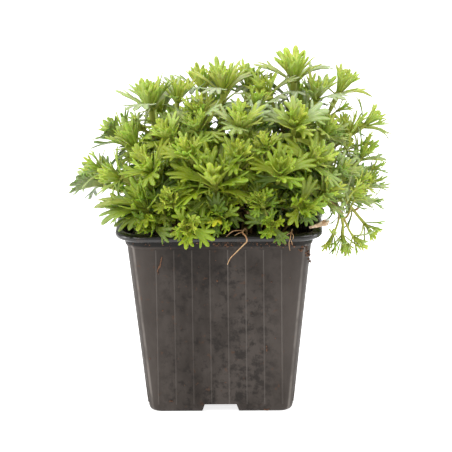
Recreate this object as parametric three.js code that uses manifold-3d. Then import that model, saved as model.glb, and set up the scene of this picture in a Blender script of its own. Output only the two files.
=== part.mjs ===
// A mossy saxifrage in its square nursery pot: a thin ribbed plastic pot with a rolled rim and drained base,
// the compost that fills it, and a cushion of leafy stems that each end in one or more rosettes of lobed leaves.
// Millimetres, +Z up. The origin is the middle of the pot's underside, and the front of the pot faces -Y.
import * as THREE from "three";
import { mergeVertices } from "three/addons/utils/BufferGeometryUtils.js";
import Module from "manifold-3d";

const wasm = await Module();
wasm.setup();

// Driving dimensions
const RIM_WIDTH = 90;
const POT_HEIGHT = 83;
const BASE_WIDTH = 63.4;
const WALL = 1.1;
const FLOOR = 1.2;
const GAP = 0.3;
const CORNER_STEPS = 3;

const WALL_TOP = { z: POT_HEIGHT - 7.1, half: 40.0, corner: 10 };
const WALL_FOOT = { z: 2.4, half: BASE_WIDTH / 2, corner: 6 };
const RIBS = { aSide: 8, pitch: 7.75, width: 1.1, height: 0.4 };
const NOTCH = { foot: 17, head: 14, height: 3.5, reach: 20, roof: 1.1 };
const DRAIN_RADIUS = 3.2;

const SOIL = { edge: POT_HEIGHT - 7.5, crown: POT_HEIGHT - 3.5, bump: 0.9 };

const STEM = { sides: 5, steps: 2, radius: 1.0, crownRadius: 1.3, straight: 1.5, rootDepth: 6.5 };
const INTERNODE = 1.3;
const LEAVES = 6;
const LEAVES_A_LEVEL = 3;
const BROAD_LEAVES = 2;
const LEAF_THICKNESS = 0.7;
const ROOT_RADIUS = 0.5;
const DEAD_LEAF_LENGTH = 13;

// Materials
const material = (color, roughness) => new THREE.MeshStandardMaterial({ color, roughness, metalness: 0 });
const potPlastic = material("#3b3836", 0.45);
const compost = material("#2b1d14", 0.95);
const leafGreen = material("#7ea23a", 0.5);
const deadTan = material("#b98d6b", 0.85);
const rootTan = material("#a06a3a", 0.8);

// Points and closed bodies
const { degToRad, lerp, clamp } = THREE.MathUtils;
const X = new THREE.Vector3(1, 0, 0);
const Y = new THREE.Vector3(0, 1, 0);
const Z = new THREE.Vector3(0, 0, 1);
const vector = ([x, y, z]) => new THREE.Vector3(x, y, z);
const mean = (points) => points.reduce((sum, p) => sum.add(p), new THREE.Vector3()).divideScalar(points.length);

function solidFrom(geometry) {
  const bare = new THREE.BufferGeometry().setAttribute("position", geometry.getAttribute("position"));
  if (geometry.index) bare.setIndex(geometry.index);
  const merged = mergeVertices(bare, 1e-4);
  return new wasm.Manifold(
    new wasm.Mesh({
      numProp: 3,
      vertProperties: merged.attributes.position.array,
      triVerts: new Uint32Array(merged.index.array),
    }),
  );
}

function geometryFrom(solid) {
  const mesh = solid.getMesh();
  return new THREE.BufferGeometry()
    .setAttribute("position", new THREE.BufferAttribute(mesh.vertProperties, mesh.numProp))
    .setIndex(new THREE.BufferAttribute(mesh.triVerts, 1));
}

const closedBody = (points, index) => solidFrom(new THREE.BufferGeometry().setFromPoints(points).setIndex(index));

// A closed body through rings of points that run the same way round, flat at both ends.
function loft(rings) {
  const sides = rings[0].length;
  const last = (rings.length - 1) * sides;
  const index = [];
  for (let ring = 0; ring < last; ring += sides) {
    for (let i = 0; i < sides; i++) {
      const j = (i + 1) % sides;
      index.push(ring + i, ring + j, ring + sides + j);
      index.push(ring + i, ring + sides + j, ring + sides + i);
    }
  }
  for (let i = 1; i + 1 < sides; i++) index.push(0, i + 1, i, last, last + i, last + i + 1);
  return closedBody(rings.flat(), index);
}

function polygonRing(centre, right, up, radius, sides) {
  return Array.from({ length: sides }, (_, i) => {
    const angle = (2 * Math.PI * i) / sides;
    return centre
      .clone()
      .addScaledVector(right, radius * Math.cos(angle))
      .addScaledVector(up, radius * Math.sin(angle));
  });
}

// Rings round a line of points, each square to its own direction and turned from the last without a twist.
function ringsAlong(points, directions, radii, sides) {
  let right = X;
  return points.map((point, i) => {
    const along = directions[i];
    right = right.clone().addScaledVector(along, -right.dot(along)).normalize();
    return polygonRing(point, right, along.clone().cross(right), radii[i], sides);
  });
}

const chords = (points) =>
  points.map((_, i) => {
    const next = points[Math.min(i + 1, points.length - 1)];
    return next.clone().sub(points[Math.max(i - 1, 0)]).normalize();
  });

// Pot
// A square with rounded corners, centred on the axis.
function squareRing({ half, corner, z }, height = () => z) {
  const points = [];
  for (let quarter = 0; quarter < 4; quarter++) {
    const toCorner = (Math.PI / 2) * (quarter + 0.5);
    for (let step = 0; step <= CORNER_STEPS; step++) {
      const angle = (Math.PI / 2) * (quarter + step / CORNER_STEPS);
      const x = Math.SQRT2 * (half - corner) * Math.cos(toCorner) + corner * Math.cos(angle);
      const y = Math.SQRT2 * (half - corner) * Math.sin(toCorner) + corner * Math.sin(angle);
      points.push(new THREE.Vector3(x, y, height(x, y)));
    }
  }
  return points;
}

function wallAt(z, inset = 0) {
  const share = (z - WALL_FOOT.z) / (WALL_TOP.z - WALL_FOOT.z);
  return {
    z,
    half: lerp(WALL_FOOT.half, WALL_TOP.half, share) - inset,
    corner: lerp(WALL_FOOT.corner, WALL_TOP.corner, share) - inset,
  };
}

function rimRings() {
  const outer = RIM_WIDTH / 2;
  const collar = WALL_TOP.half + 0.7;
  const ring = (z, half, corner) => squareRing({ z, half, corner });
  return [
    ring(WALL_TOP.z + 0.5, collar, 10.6),
    ring(POT_HEIGHT - 3.6, collar + 0.6, 11.2),
    ring(POT_HEIGHT - 3.2, outer - 0.9, 12.8),
    ring(POT_HEIGHT - 2.3, outer, 13.6),
    ring(POT_HEIGHT - 1.1, outer, 13.6),
    ring(POT_HEIGHT, outer - 1.1, 12.6),
    ring(POT_HEIGHT, outer - 3.1, 11.2),
  ];
}

function potOutside() {
  return loft([
    squareRing({ z: 0, half: WALL_FOOT.half - 2.0, corner: 4.5 }),
    squareRing({ z: 0.6, half: WALL_FOOT.half - 0.7, corner: 5.4 }),
    squareRing(WALL_FOOT),
    squareRing(WALL_TOP),
    ...rimRings(),
  ]);
}

function potInside() {
  return loft([
    squareRing({ ...wallAt(FLOOR, WALL), corner: 4.5 }),
    squareRing(wallAt(WALL_TOP.z + 2, WALL)),
    squareRing({ z: POT_HEIGHT + 1, half: RIM_WIDTH / 2 - 2.6, corner: 11.2 }),
  ]);
}

const onEachSide = (solid) => [0, 90, 180, 270].map((turn) => solid.rotate([0, 0, turn]));

// The drain channel that runs in from the middle of a side, under the floor, larger by inset on every face.
function channel(inset) {
  const { foot, head, height, reach } = NOTCH;
  const section = new THREE.Shape([
    new THREE.Vector2(-foot / 2 - inset, -1 - inset),
    new THREE.Vector2(foot / 2 + inset, -1 - inset),
    new THREE.Vector2(head / 2 + inset, height + inset),
    new THREE.Vector2(-head / 2 - inset, height + inset),
  ]);
  const depth = BASE_WIDTH / 2 + reach + inset;
  const prism = new THREE.ExtrudeGeometry(section, { depth, bevelEnabled: false });
  return solidFrom(prism.rotateX(Math.PI / 2).translate(0, reach + inset - BASE_WIDTH / 2, 0));
}

function drainHole() {
  const hole = new THREE.CylinderGeometry(DRAIN_RADIUS, DRAIN_RADIUS, 12, 8).rotateX(Math.PI / 2);
  return solidFrom(hole.translate(0, NOTCH.reach - 6 - BASE_WIDTH / 2, 0));
}

function rib(x) {
  const ridge = ({ z, half }) => [
    new THREE.Vector3(x - RIBS.width / 2, 0.1 - half, z),
    new THREE.Vector3(x, -half - RIBS.height, z),
    new THREE.Vector3(x + RIBS.width / 2, 0.1 - half, z),
  ];
  return loft([ridge(wallAt(WALL_FOOT.z + 1.2)), ridge(wallAt(WALL_TOP.z - 0.3))]);
}

function makePot() {
  const outside = potOutside();
  const roofs = onEachSide(channel(NOTCH.roof)).map((roof) => roof.intersect(outside));
  const ribs = Array.from({ length: RIBS.aSide }, (_, i) => rib((i - (RIBS.aSide - 1) / 2) * RIBS.pitch));
  const shell = wasm.Manifold.union([outside.subtract(potInside()), ...roofs, ...ribs.flatMap(onEachSide)]);
  return shell.subtract(wasm.Manifold.union([...onEachSide(channel(0)), ...onEachSide(drainHole())]));
}

// Compost
function soilHeight(x, y) {
  const out = Math.min(1, Math.hypot(x, y) / WALL_TOP.half);
  const bump = Math.sin(0.31 * x + 1.3) * Math.cos(0.27 * y - 0.4) + 0.6 * Math.sin(0.19 * (x - y));
  return lerp(SOIL.crown, SOIL.edge, out * out) + SOIL.bump * bump * (1 - out ** 4);
}

// A plain hole for a stem or root that stands in the compost.
function soilHole({ foot, radius, sides }) {
  const wide = radius + GAP / Math.cos(Math.PI / sides);
  const deep = foot.z - GAP;
  return loft([deep, deep + 30].map((z) => polygonRing(new THREE.Vector3(foot.x, foot.y, z), X, Y, wide, sides)));
}

function makeSoil(standing) {
  const edge = wallAt(SOIL.edge, WALL + GAP);
  const inner = (share) => squareRing({ half: edge.half * share, corner: edge.corner * share, z: 0 }, soilHeight);
  const foot = squareRing({ ...wallAt(FLOOR + GAP, WALL + GAP), corner: 4.2 });
  const body = loft([foot, squareRing(edge), inner(0.72), inner(0.36)]);
  return body.subtract(wasm.Manifold.union([...onEachSide(channel(NOTCH.roof + GAP)), ...standing.map(soilHole)]));
}

// Leaves
// Half of each outline, in shares of the leaf's length: along it, and across it from the midrib.
// It runs from the palm's shoulder to the middle lobe. A lobe's blunt end is an edge between two points.
const TIP = true;
const BROAD_LEAF = [
  [0.5, 0.12],
  [0.7, 0.36, TIP],
  [0.76, 0.31, TIP],
  [0.64, 0.145],
  [0.91, 0.24, TIP],
  [0.95, 0.18, TIP],
  [0.7, 0.058],
  [1.0, 0.038, TIP],
];
const NARROW_LEAF = [
  [0.54, 0.1],
  [0.83, 0.27, TIP],
  [0.88, 0.2, TIP],
  [0.68, 0.06],
  [1.0, 0.045, TIP],
];

function wholeOutline(half) {
  const right = half.map(([along, across, tip = false]) => ({ along, across, tip }));
  const left = right.map((p) => ({ ...p, across: -p.across }));
  return [...right, ...left.reverse()];
}

// Triangles of the outline's upper face, with the stalk's two corners at either end of the list.
// The blade's middle is cut across from side to side, and each lobe is two triangles.
function outlineFaces(tips) {
  const edge = [...tips.keys()].filter((i) => !tips[i]);
  const faces = [];
  for (let low = 0, high = edge.length - 1; low + 1 < high; low++, high--) {
    faces.push([edge[low], edge[low + 1], edge[high]]);
    if (low + 2 < high) faces.push([edge[low + 1], edge[high - 1], edge[high]]);
  }
  tips.forEach((tip, i) => {
    if (tip && tips[i + 1]) faces.push([i - 1, i, i + 1], [i - 1, i + 1, i + 2]);
  });
  return faces;
}

// Where a point of a leaf lies: its midrib is an arc that leaves the stem at the angle rise and bends by arch.
function leafPoint({ origin, axis, out, side, length, rise, arch }, along, across, lift) {
  const angle = rise + arch * along;
  const up = (length * (Math.sin(angle) - Math.sin(rise))) / arch;
  const away = (length * (Math.cos(rise) - Math.cos(angle))) / arch;
  return origin
    .clone()
    .addScaledVector(axis, up + lift * Math.sin(angle))
    .addScaledVector(out, away - lift * Math.cos(angle))
    .addScaledVector(side, across * length);
}

function leafSolid(leaf) {
  const outline = wholeOutline(leaf.broad ? BROAD_LEAF : NARROW_LEAF);
  const face = (lift) => outline.map((p) => leafPoint(leaf, p.along, p.across, p.tip ? 0 : lift));
  const upper = [leaf.above[1], ...face(LEAF_THICKNESS / 2), leaf.above[0]];
  const lower = [leaf.below[1], ...face(-LEAF_THICKNESS / 2), leaf.below[0]];
  const count = upper.length;
  const tips = [false, ...outline.map((p) => p.tip), false];
  const under = tips.map((tip, i) => (tip ? i : count + i));
  const index = [];
  for (const [a, b, c] of outlineFaces(tips)) index.push(a, c, b, under[a], under[b], under[c]);
  for (let i = 0; i < count; i++) {
    const j = (i + 1) % count;
    if (!tips[i]) index.push(i, under[j], under[i]);
    if (!tips[j]) index.push(i, j, under[j]);
  }
  return closedBody([...upper, ...lower], index);
}

// Seeded draws
function seeded(seed) {
  let state = seed >>> 0;
  return () => {
    state = (state + 0x6d2b79f5) >>> 0;
    let t = Math.imul(state ^ (state >>> 15), state | 1);
    t = (t + Math.imul(t ^ (t >>> 7), t | 61)) ^ t;
    return ((t ^ (t >>> 14)) >>> 0) / 4294967296;
  };
}

// Where the rosettes are
// Each leafy stem by name: the tips of its rosettes as [x, y, z, longest leaf, lean], the main one first.
// A lean is the way that the tip points, and without one it is outwards from the cushion's middle.
const SHOOTS = {
  far_left: [[-53, 2, 102, 17, [-0.85, -0.1, 0.5]]],
  left_low: [[-44, -14, 102, 18, [-0.95, -0.15, 0.3]]],
  left_mid: [[-37, -12, 116, 18, [-0.5, -0.1, 0.85]]],
  left_front: [[-31, -34, 93, 21, [-0.55, -0.35, 0.75]]],
  left_foot: [[-29, -40, 86, 16, [-0.4, -0.9, 0.1]]],
  top_left: [[-30, 0, 131, 21, [-0.1, 0.0, 1.0]]],
  top_small: [[-18, -3, 135, 15, [0.1, -0.1, 1.0]]],
  top_middle: [
    [2, 2, 138, 20, [0.0, 0.0, 1.0]],
    [-8, -12, 130, 15, [-0.3, -0.4, 0.9]],
  ],
  top_right: [
    [33, 10, 141, 20, [0.0, 0.0, 1.0]],
    [21, 2, 136, 16, [-0.4, -0.1, 0.9]],
  ],
  top_far_right: [[43, 3, 134, 16, [0.1, -0.1, 1.0]]],
  right_high: [[53, 10, 135, 18, [0.4, 0.0, 0.95]]],
  right_pair: [
    [65, 6, 121, 15, [0.8, 0.0, 0.6]],
    [57, 0, 119, 14, [-0.1, -0.2, 1.0]],
  ],
  right_side: [[63, 2, 107, 14, [0.6, -0.3, 0.8]]],
  right_out: [[65, 0, 95, 15, [0.75, 0.0, 0.65]]],
  right_low: [[56, -17, 93, 17, [0.85, -0.4, 0.35]]],
  mid_left: [[-29, -30, 109, 17]],
  mid_high_left: [[-21, -22, 121, 16]],
  big_front: [[-1, -38, 105, 24, [-0.05, -0.4, 0.9]]],
  foot_left: [
    [-13, -45, 87, 14, [0.0, -0.95, 0.1]],
    [-20, -43, 98, 11, [-0.2, -0.8, 0.5]],
  ],
  foot_middle: [[1, -43, 90, 13, [-0.1, -0.9, 0.1]]],
  foot_right: [
    [23, -45, 88, 15, [0.0, -0.9, 0.25]],
    [18, -44, 98, 11, [-0.1, -0.8, 0.5]],
  ],
  foot_far_right: [[36, -38, 94, 17, [0.3, -0.9, 0.2]]],
  front_right: [[27, -38, 109, 17, [0.05, -0.75, 0.65]]],
  front_small: [[21, -32, 119, 11, [-0.1, -0.5, 0.85]]],
  front_high: [[33, -19, 126, 17, [0.0, -0.7, 0.75]]],
  front_centre: [[9, -36, 115, 15]],
  front_left: [[-12, -34, 116, 15]],
  upper_centre: [[10, -24, 127, 17]],
  upper_left: [[-9, -22, 125, 14]],
  upper_right: [[16, -10, 133, 14]],
  mid_right: [[41, -27, 111, 17]],
  high_right: [[47, -9, 120, 14]],
  low_right: [[45, -31, 97, 16]],
  right_front: [[52, -19, 104, 15]],
};

// Stems that hang over the rim at the right: where each starts and is drawn towards, then its tips as above.
const TRAILERS = {
  trailing_out: {
    start: [29, -8],
    pulls: [[50, -12, 106], [56, -10, 88]],
    tips: [[65, -6, 77, 10, [0.6, -0.1, -0.75]]],
  },
  trailing_down: {
    start: [28, -18],
    pulls: [[46, -24, 106], [56, -24, 90]],
    tips: [
      [54, -22, 75, 11, [0.1, -0.2, -0.95]],
      [49, -29, 78, 9, [-0.4, -0.6, -0.7]],
    ],
  },
};

// The far side of the cushion, by rule: rows round an ellipsoid, each tip moved a little by a seeded draw.
const CUSHION = { middle: new THREE.Vector3(2, 2, 86), size: new THREE.Vector3(57, 50, 54) };
const BACK_ROWS = [
  { height: 0.12, first: 14, last: 166, shoots: 5, leaf: 19 },
  { height: 0.45, first: 28, last: 152, shoots: 4, leaf: 19 },
  { height: 0.75, first: 36, last: 144, shoots: 3, leaf: 18 },
  { height: 0.93, first: 62, last: 118, shoots: 2, leaf: 17 },
];
const BACK_SEED = 11;
const BACK_DRIFT = 4;

function backShoots() {
  const draw = seeded(BACK_SEED);
  const drift = () => BACK_DRIFT * (draw() - 0.5);
  const { middle, size } = CUSHION;
  const shoots = {};
  BACK_ROWS.forEach(({ height, first, last, shoots: count, leaf }, row) => {
    const out = Math.sqrt(1 - height * height);
    for (let i = 0; i < count; i++) {
      const angle = degToRad(lerp(first, last, i / (count - 1)));
      const x = middle.x + size.x * out * Math.cos(angle) + drift();
      const y = middle.y + size.y * out * Math.sin(angle) + drift();
      const z = middle.z + size.z * height + drift();
      shoots[`back_${row + 1}_${i + 1}`] = [[x, y, z, leaf]];
    }
  });
  return shoots;
}

// Stems
function leanOf(tip, lean) {
  if (lean) return vector(lean).normalize();
  const outwards = tip.clone().sub(CUSHION.middle).divide(CUSHION.size).normalize();
  return outwards.addScaledVector(Z, 0.35).normalize();
}

// Places for a stem's root, from the most wanted to the least: a share of the way out to its tip, and turned.
const ROOT_LIMIT = 33;
const ROOT_PLACES = [];
for (const turn of [0, 8, -8, 16, -16, 24, -24]) {
  for (const share of [0.5, 0.4, 0.6, 0.3, 0.7]) ROOT_PLACES.push({ share, turn });
}

function startAt(spot) {
  const x = clamp(spot.x, -ROOT_LIMIT, ROOT_LIMIT);
  const y = clamp(spot.y, -ROOT_LIMIT, ROOT_LIMIT);
  return new THREE.Vector3(x, y, soilHeight(x, y) + STEM.straight);
}

// A stem curve that leaves its start along one direction and arrives at its foot along another.
function bentCurve(start, leaving, foot, arriving, share) {
  const reach = share * start.distanceTo(foot);
  const one = start.clone().addScaledVector(leaving, reach);
  return new THREE.CubicBezierCurve3(start, one, foot.clone().addScaledVector(arriving, -reach), foot);
}

// The stems of one shoot: the main one stands in the compost, and any others branch from its curve.
function stemsOf({ tips, start, pulls }, { share, turn }) {
  const stems = [];
  for (const [x, y, z, longest, wanted] of tips) {
    const tip = new THREE.Vector3(x, y, z);
    const lean = leanOf(tip, wanted);
    const levels = Math.ceil(LEAVES / LEAVES_A_LEVEL);
    const foot = tip.clone().addScaledVector(lean, -INTERNODE * levels);
    if (stems.length) {
      const { curve } = stems[0];
      const fork = bentCurve(curve.getPoint(0.55), curve.getTangent(0.55), foot, lean, 0.4);
      stems.push({ curve: fork, lean, levels, longest });
      continue;
    }
    const spot = start ? vector([...start, 0]) : tip.clone().multiplyScalar(share).applyAxisAngle(Z, degToRad(turn));
    const from = startAt(spot);
    const root = from.clone().addScaledVector(Z, -STEM.straight - STEM.rootDepth);
    const curve = pulls
      ? new THREE.CubicBezierCurve3(from, ...pulls.map(vector), foot)
      : bentCurve(from, Z, foot, lean, 0.42);
    stems.push({ curve, lean, levels, longest, root });
  }
  return stems;
}

// A stem's rings from its root to its tip. The last ones are straight, one above each level of leaves.
function stemRings({ curve, lean, root, levels }) {
  const points = curve.getPoints(STEM.steps);
  if (root) points.unshift(root);
  const directions = chords(points);
  directions[points.length - 1] = lean;
  const radii = points.map((_, i) => (i < points.length - 1 ? STEM.radius : STEM.crownRadius));
  for (let level = 1; level <= levels; level++) {
    points.push(curve.getPoint(1).addScaledVector(lean, INTERNODE * level));
    directions.push(lean);
    radii.push(STEM.crownRadius);
  }
  return ringsAlong(points, directions, radii, STEM.sides);
}

// Rosettes
// Leaves round a stem's end, from the lowest and most spreading to the topmost and most upright.
// Each grows from one flat of the stem, and the next is two flats on, as leaves follow each other round a stem.
function rosetteLeaves({ rings, lean, longest, levels }, seed) {
  const draw = seeded(seed);
  const first = Math.floor(STEM.sides * draw());
  return Array.from({ length: LEAVES }, (_, i) => {
    const share = i / (LEAVES - 1);
    const flat = (first + 2 * i) % STEM.sides;
    const next = (flat + 1) % STEM.sides;
    const level = rings.length - 1 - levels + Math.floor(i / LEAVES_A_LEVEL);
    const below = [rings[level][flat], rings[level][next]];
    const above = [rings[level + 1][flat], rings[level + 1][next]];
    return {
      below,
      above,
      origin: mean([...below, ...above]),
      axis: lean,
      side: below[1].clone().sub(below[0]).normalize(),
      broad: i < BROAD_LEAVES,
      length: longest * lerp(1.0, 0.66, share) * (0.94 + 0.12 * draw()),
      rise: degToRad(lerp(44, 40, share) + 10 * (draw() - 0.5)),
      arch: degToRad(lerp(52, -34, share)),
    };
  });
}

// The ways that a leaf may be bent to pass its neighbours, from the least change to the most.
const BENDS = [];
for (const size of [1, 0.86, 0.72]) {
  for (const turn of [0, 16, -16, 32, -32]) {
    for (const rise of [0, 12, -12, 24]) BENDS.push({ size, turn, rise });
  }
}

function bentLeaf(leaf, { size, turn, rise }) {
  const side = leaf.side.clone().applyAxisAngle(leaf.axis, degToRad(turn));
  return {
    ...leaf,
    side,
    out: side.clone().cross(leaf.axis),
    length: leaf.length * size,
    rise: leaf.rise + degToRad(rise),
  };
}

// Keeping pieces clear of each other
const SLIGHT = 0.02;

function placedPiece(name, solid) {
  const { min, max } = solid.boundingBox();
  return { name, solid, box: new THREE.Box3(vector(min), vector(max)) };
}

function isClear(piece, others) {
  const box = piece.box.clone().expandByScalar(GAP);
  return others.every((other) => !box.intersectsBox(other.box) || piece.solid.minGap(other.solid, GAP) >= GAP);
}

function crosses(piece, others) {
  return others.some(
    (other) => piece.box.intersectsBox(other.box) && piece.solid.intersect(other.solid).volume() > SLIGHT,
  );
}

// The shoots
function growStems(name, plan, placed) {
  for (const place of ROOT_PLACES) {
    const stems = stemsOf(plan, place).map((stem) => ({ ...stem, rings: stemRings(stem) }));
    const pieces = stems.map(({ rings }) => placedPiece(name, loft(rings)));
    if (pieces.every((piece) => isClear(piece, placed))) return { name, stems, pieces };
  }
  throw new Error(`no place for the stem ${name}`);
}

function growLeaves({ name, stems, pieces }, number, others) {
  stems.forEach((stem, i) => {
    const own = pieces.filter((_, k) => k !== i);
    for (const leaf of rosetteLeaves(stem, 1 + 10 * number + i)) {
      for (const bend of BENDS) {
        const piece = placedPiece(name, leafSolid(bentLeaf(leaf, bend)));
        if (!isClear(piece, others) || crosses(piece, own)) continue;
        pieces.push(piece);
        own.push(piece);
        break;
      }
    }
  });
}

// One body of all the pieces. A hollow that they seal is filled, and a scrap that they cut off is left out.
function fused(pieces) {
  const whole = wasm.Manifold.union(pieces.map(({ solid }) => solid)).simplify(0.01);
  return whole.decompose().reduce((most, part) => (part.volume() > most.volume() ? part : most));
}

// Roots that hang over the rim, and a dead leaf that lies on it
const HANGING_ROOTS = {
  root_long: [
    [[12.2, -35, 72], [12.2, -35, 79.5], [11.8, -39.4, 84.6], [10.4, -43.8, 84.4], [11.8, -46, 83.1], [12.3, -46.4, 81],
      [10.7, -46.4, 79.2], [7.3, -45.8, 75.6], [5, -44.8, 72.9], [3.8, -43.4, 69.9]],
    [[11.2, -41.4, 84.5], [7, -45, 85.3], [5, -46.2, 84.5], [3.4, -46.8, 83.1]],
    [[10.4, -43.8, 84.4], [8.6, -45.4, 84.2], [7, -46.4, 83.5]],
  ],
  root_short: [
    [[31.6, -33.4, 71], [31.6, -33.4, 78.5], [31.9, -38.4, 84], [31.4, -43.6, 84.2], [30.9, -46, 82], [30.4, -46.2, 79.8],
      [30.8, -44.4, 76.2]],
    [[31.4, -43.6, 84.2], [32.3, -45.6, 83.2], [32, -46.6, 81.6]],
  ],
};

function hangingRoot(strands) {
  const tubes = strands.map((strand) => {
    const points = strand.map(vector);
    const radii = points.map((_, i) => ROOT_RADIUS * (i + 1 < points.length ? 1 : 0.8));
    return loft(ringsAlong(points, chords(points), radii, 4));
  });
  return wasm.Manifold.union(tubes);
}

function deadLeaf() {
  const axis = new THREE.Vector3(0.76, 0.65, 0.05).normalize();
  const side = Z.clone().cross(axis).normalize();
  const leaf = {
    origin: new THREE.Vector3(38, -38.5, POT_HEIGHT + GAP + 0.5),
    axis,
    side,
    out: side.clone().cross(axis),
    broad: false,
    length: DEAD_LEAF_LENGTH,
    rise: degToRad(-6),
    arch: degToRad(24),
  };
  const stalk = (lift) => [-0.05, 0.05].map((across) => leafPoint(leaf, 0, across, lift));
  return leafSolid({ ...leaf, above: stalk(LEAF_THICKNESS / 2), below: stalk(-LEAF_THICKNESS / 2) });
}

// The whole
const root = new THREE.Group();
function addPart({ name, solid }, look) {
  const mesh = new THREE.Mesh(geometryFrom(solid), look);
  mesh.name = name;
  root.add(mesh);
}

function build() {
  const roots = Object.entries(HANGING_ROOTS).map(([name, strands]) => placedPiece(name, hangingRoot(strands)));
  const fixed = [placedPiece("pot", makePot()), ...roots, placedPiece("dead_leaf", deadLeaf())];
  const placed = [...fixed];
  const plans = { ...TRAILERS };
  for (const [name, tips] of Object.entries({ ...SHOOTS, ...backShoots() })) plans[name] = { tips };
  const shoots = Object.entries(plans).map(([name, plan]) => {
    const shoot = growStems(name, plan, placed);
    placed.push(...shoot.pieces);
    return shoot;
  });

  const stemFeet = shoots.map(({ stems }) => ({ foot: stems[0].root, radius: STEM.radius, sides: STEM.sides }));
  const rootFeet = Object.values(HANGING_ROOTS).map(([[foot]]) => ({
    foot: vector(foot),
    radius: ROOT_RADIUS,
    sides: 4,
  }));
  fixed.push(placedPiece("soil", makeSoil([...stemFeet, ...rootFeet])));
  shoots.forEach((shoot, number) => {
    const others = shoots.filter((other) => other !== shoot).flatMap(({ pieces }) => pieces);
    growLeaves(shoot, number, [...fixed, ...others]);
  });

  const looks = { pot: potPlastic, soil: compost, dead_leaf: deadTan };
  for (const piece of fixed) addPart(piece, looks[piece.name] ?? rootTan);
  for (const { name, pieces } of shoots) addPart({ name, solid: fused(pieces) }, leafGreen);
}

build();

export default root;
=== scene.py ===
"""Looks of a mossy saxifrage in its square nursery pot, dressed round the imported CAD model.

The pot, compost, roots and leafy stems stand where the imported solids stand. Lengths here are millimetres
until a mesh is written, because Blender's own unit is the metre.
"""

import math

import bmesh
import bpy
import numpy as np
from mathutils import Matrix, Quaternion, Vector, noise


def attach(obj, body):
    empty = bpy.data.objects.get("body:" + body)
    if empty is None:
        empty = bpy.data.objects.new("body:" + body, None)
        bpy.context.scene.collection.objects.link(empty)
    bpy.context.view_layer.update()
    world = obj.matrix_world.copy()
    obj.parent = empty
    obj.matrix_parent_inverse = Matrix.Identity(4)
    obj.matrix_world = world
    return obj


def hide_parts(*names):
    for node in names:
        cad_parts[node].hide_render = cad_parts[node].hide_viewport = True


bl_info = {
    "name": "Potted mossy saxifrage",
    "version": (1, 0, 0),
    "blender": (4, 5, 0),
    "location": "3D View > Sidebar > Saxifrage",
    "description": "Builds the pot, compost, leafy stems and stage of a potted mossy saxifrage",
    "category": "Object",
}

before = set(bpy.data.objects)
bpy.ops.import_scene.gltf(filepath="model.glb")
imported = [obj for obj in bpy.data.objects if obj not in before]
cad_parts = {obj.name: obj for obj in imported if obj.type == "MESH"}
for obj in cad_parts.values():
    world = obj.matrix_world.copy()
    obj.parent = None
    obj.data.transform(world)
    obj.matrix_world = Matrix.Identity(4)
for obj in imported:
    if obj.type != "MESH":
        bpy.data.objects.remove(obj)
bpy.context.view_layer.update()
MM = 0.001
UP = Vector((0, 0, 1))
FULL_TURN = 2 * math.pi

# Sizes of the solids that the pieces here follow
RIM_WIDTH = 90
POT_HEIGHT = 83
WALL = 1.1
FLOOR = 1.2
# The foot and the top of the wall: height, half width and corner radius
WALL_FOOT = (2.4, 31.7, 6.0)
WALL_TOP = (75.9, 40.0, 10.0)
# The drain channel from the foot of each side, and the thickness of its roof
NOTCH = {"foot": 17, "head": 14, "height": 3.5, "reach": 20, "roof": 1.1}
# A drain hole, with its middle this far from the inner end of its channel
DRAIN_HOLE = {"radius": 3.2, "from_end": 6}
# The compost's height at the wall and in the middle, and how far it goes up and down
SOIL = {"edge": POT_HEIGHT - 7.5, "crown": POT_HEIGHT - 3.5, "bump": 0.9}
# A stem's sides and radii, how high above the compost it starts to curve and how deep it is rooted
STEM = {"sides": 5, "radius": 1.0, "crown": 1.3, "above_soil": 1.5, "root": 6.5}
# Stems stand no farther than this from the pot's middle, to either side and to the front or back
ROOT_LIMIT = 33
# A rosette's leaves stand on levels up the stem's end, the broad ones lowest
INTERNODE = 1.3
LEVELS = 2
LEAVES = 6
BROAD_LEAVES = 2
# A corner this near to where it is looked for is that of the solid
MATCH = 0.06
# How far the finer leaves stay above the rim, out from the pot's side and above the compost
RIM_GAP = 0.8
SIDE_GAP = 1.2
SOIL_GAP = 1

# How dense and open shoots grow. A leaf is given by its least and greatest length, and a twig is a short side
# stem. Where twigs leave a stem, how thick it is and how wide leaves spread are shares of the whole
DENSE_GROWTH = {
    "stem": 1.0, "leaf_gap": 2.8, "stem_leaf": (9, 14), "small_leaved": False, "twigs": (0.32, 0.52, 0.72),
    "highest_twig": 128, "twig_leaf": (10, 13), "twig_leaves": 8, "spread": (0.85, 1.15), "younger": 0.0,
}
OPEN_GROWTH = {
    "stem": 0.62, "leaf_gap": 5.2, "stem_leaf": (6, 9), "small_leaved": True,
    "twigs": (0.36, 0.5, 0.64, 0.8), "highest_twig": math.inf, "twig_leaf": (6, 8.5), "twig_leaves": 7,
    "spread": (0.7, 0.9), "younger": 0.25,
}
TRAILING_STEM = 0.8
# Leaves that a rosette gets besides those of its solid
FULL_ROSETTE = {"heart": 6, "between": 3, "collar": 2}
SPARSE_ROSETTE = {"heart": 6, "between": 1, "collar": 0}
GOLDEN_ANGLE = math.radians(137.5)
STEM_STEPS = 9
TUBE_SIDES = 7
SHOOT_SEED = 5000
# The lowest leaves of the cushion and the highest, for their age and for the painted shade on the low ones
# and painted light on the high ones
CUSHION_HEIGHTS = (85, 140)

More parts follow.
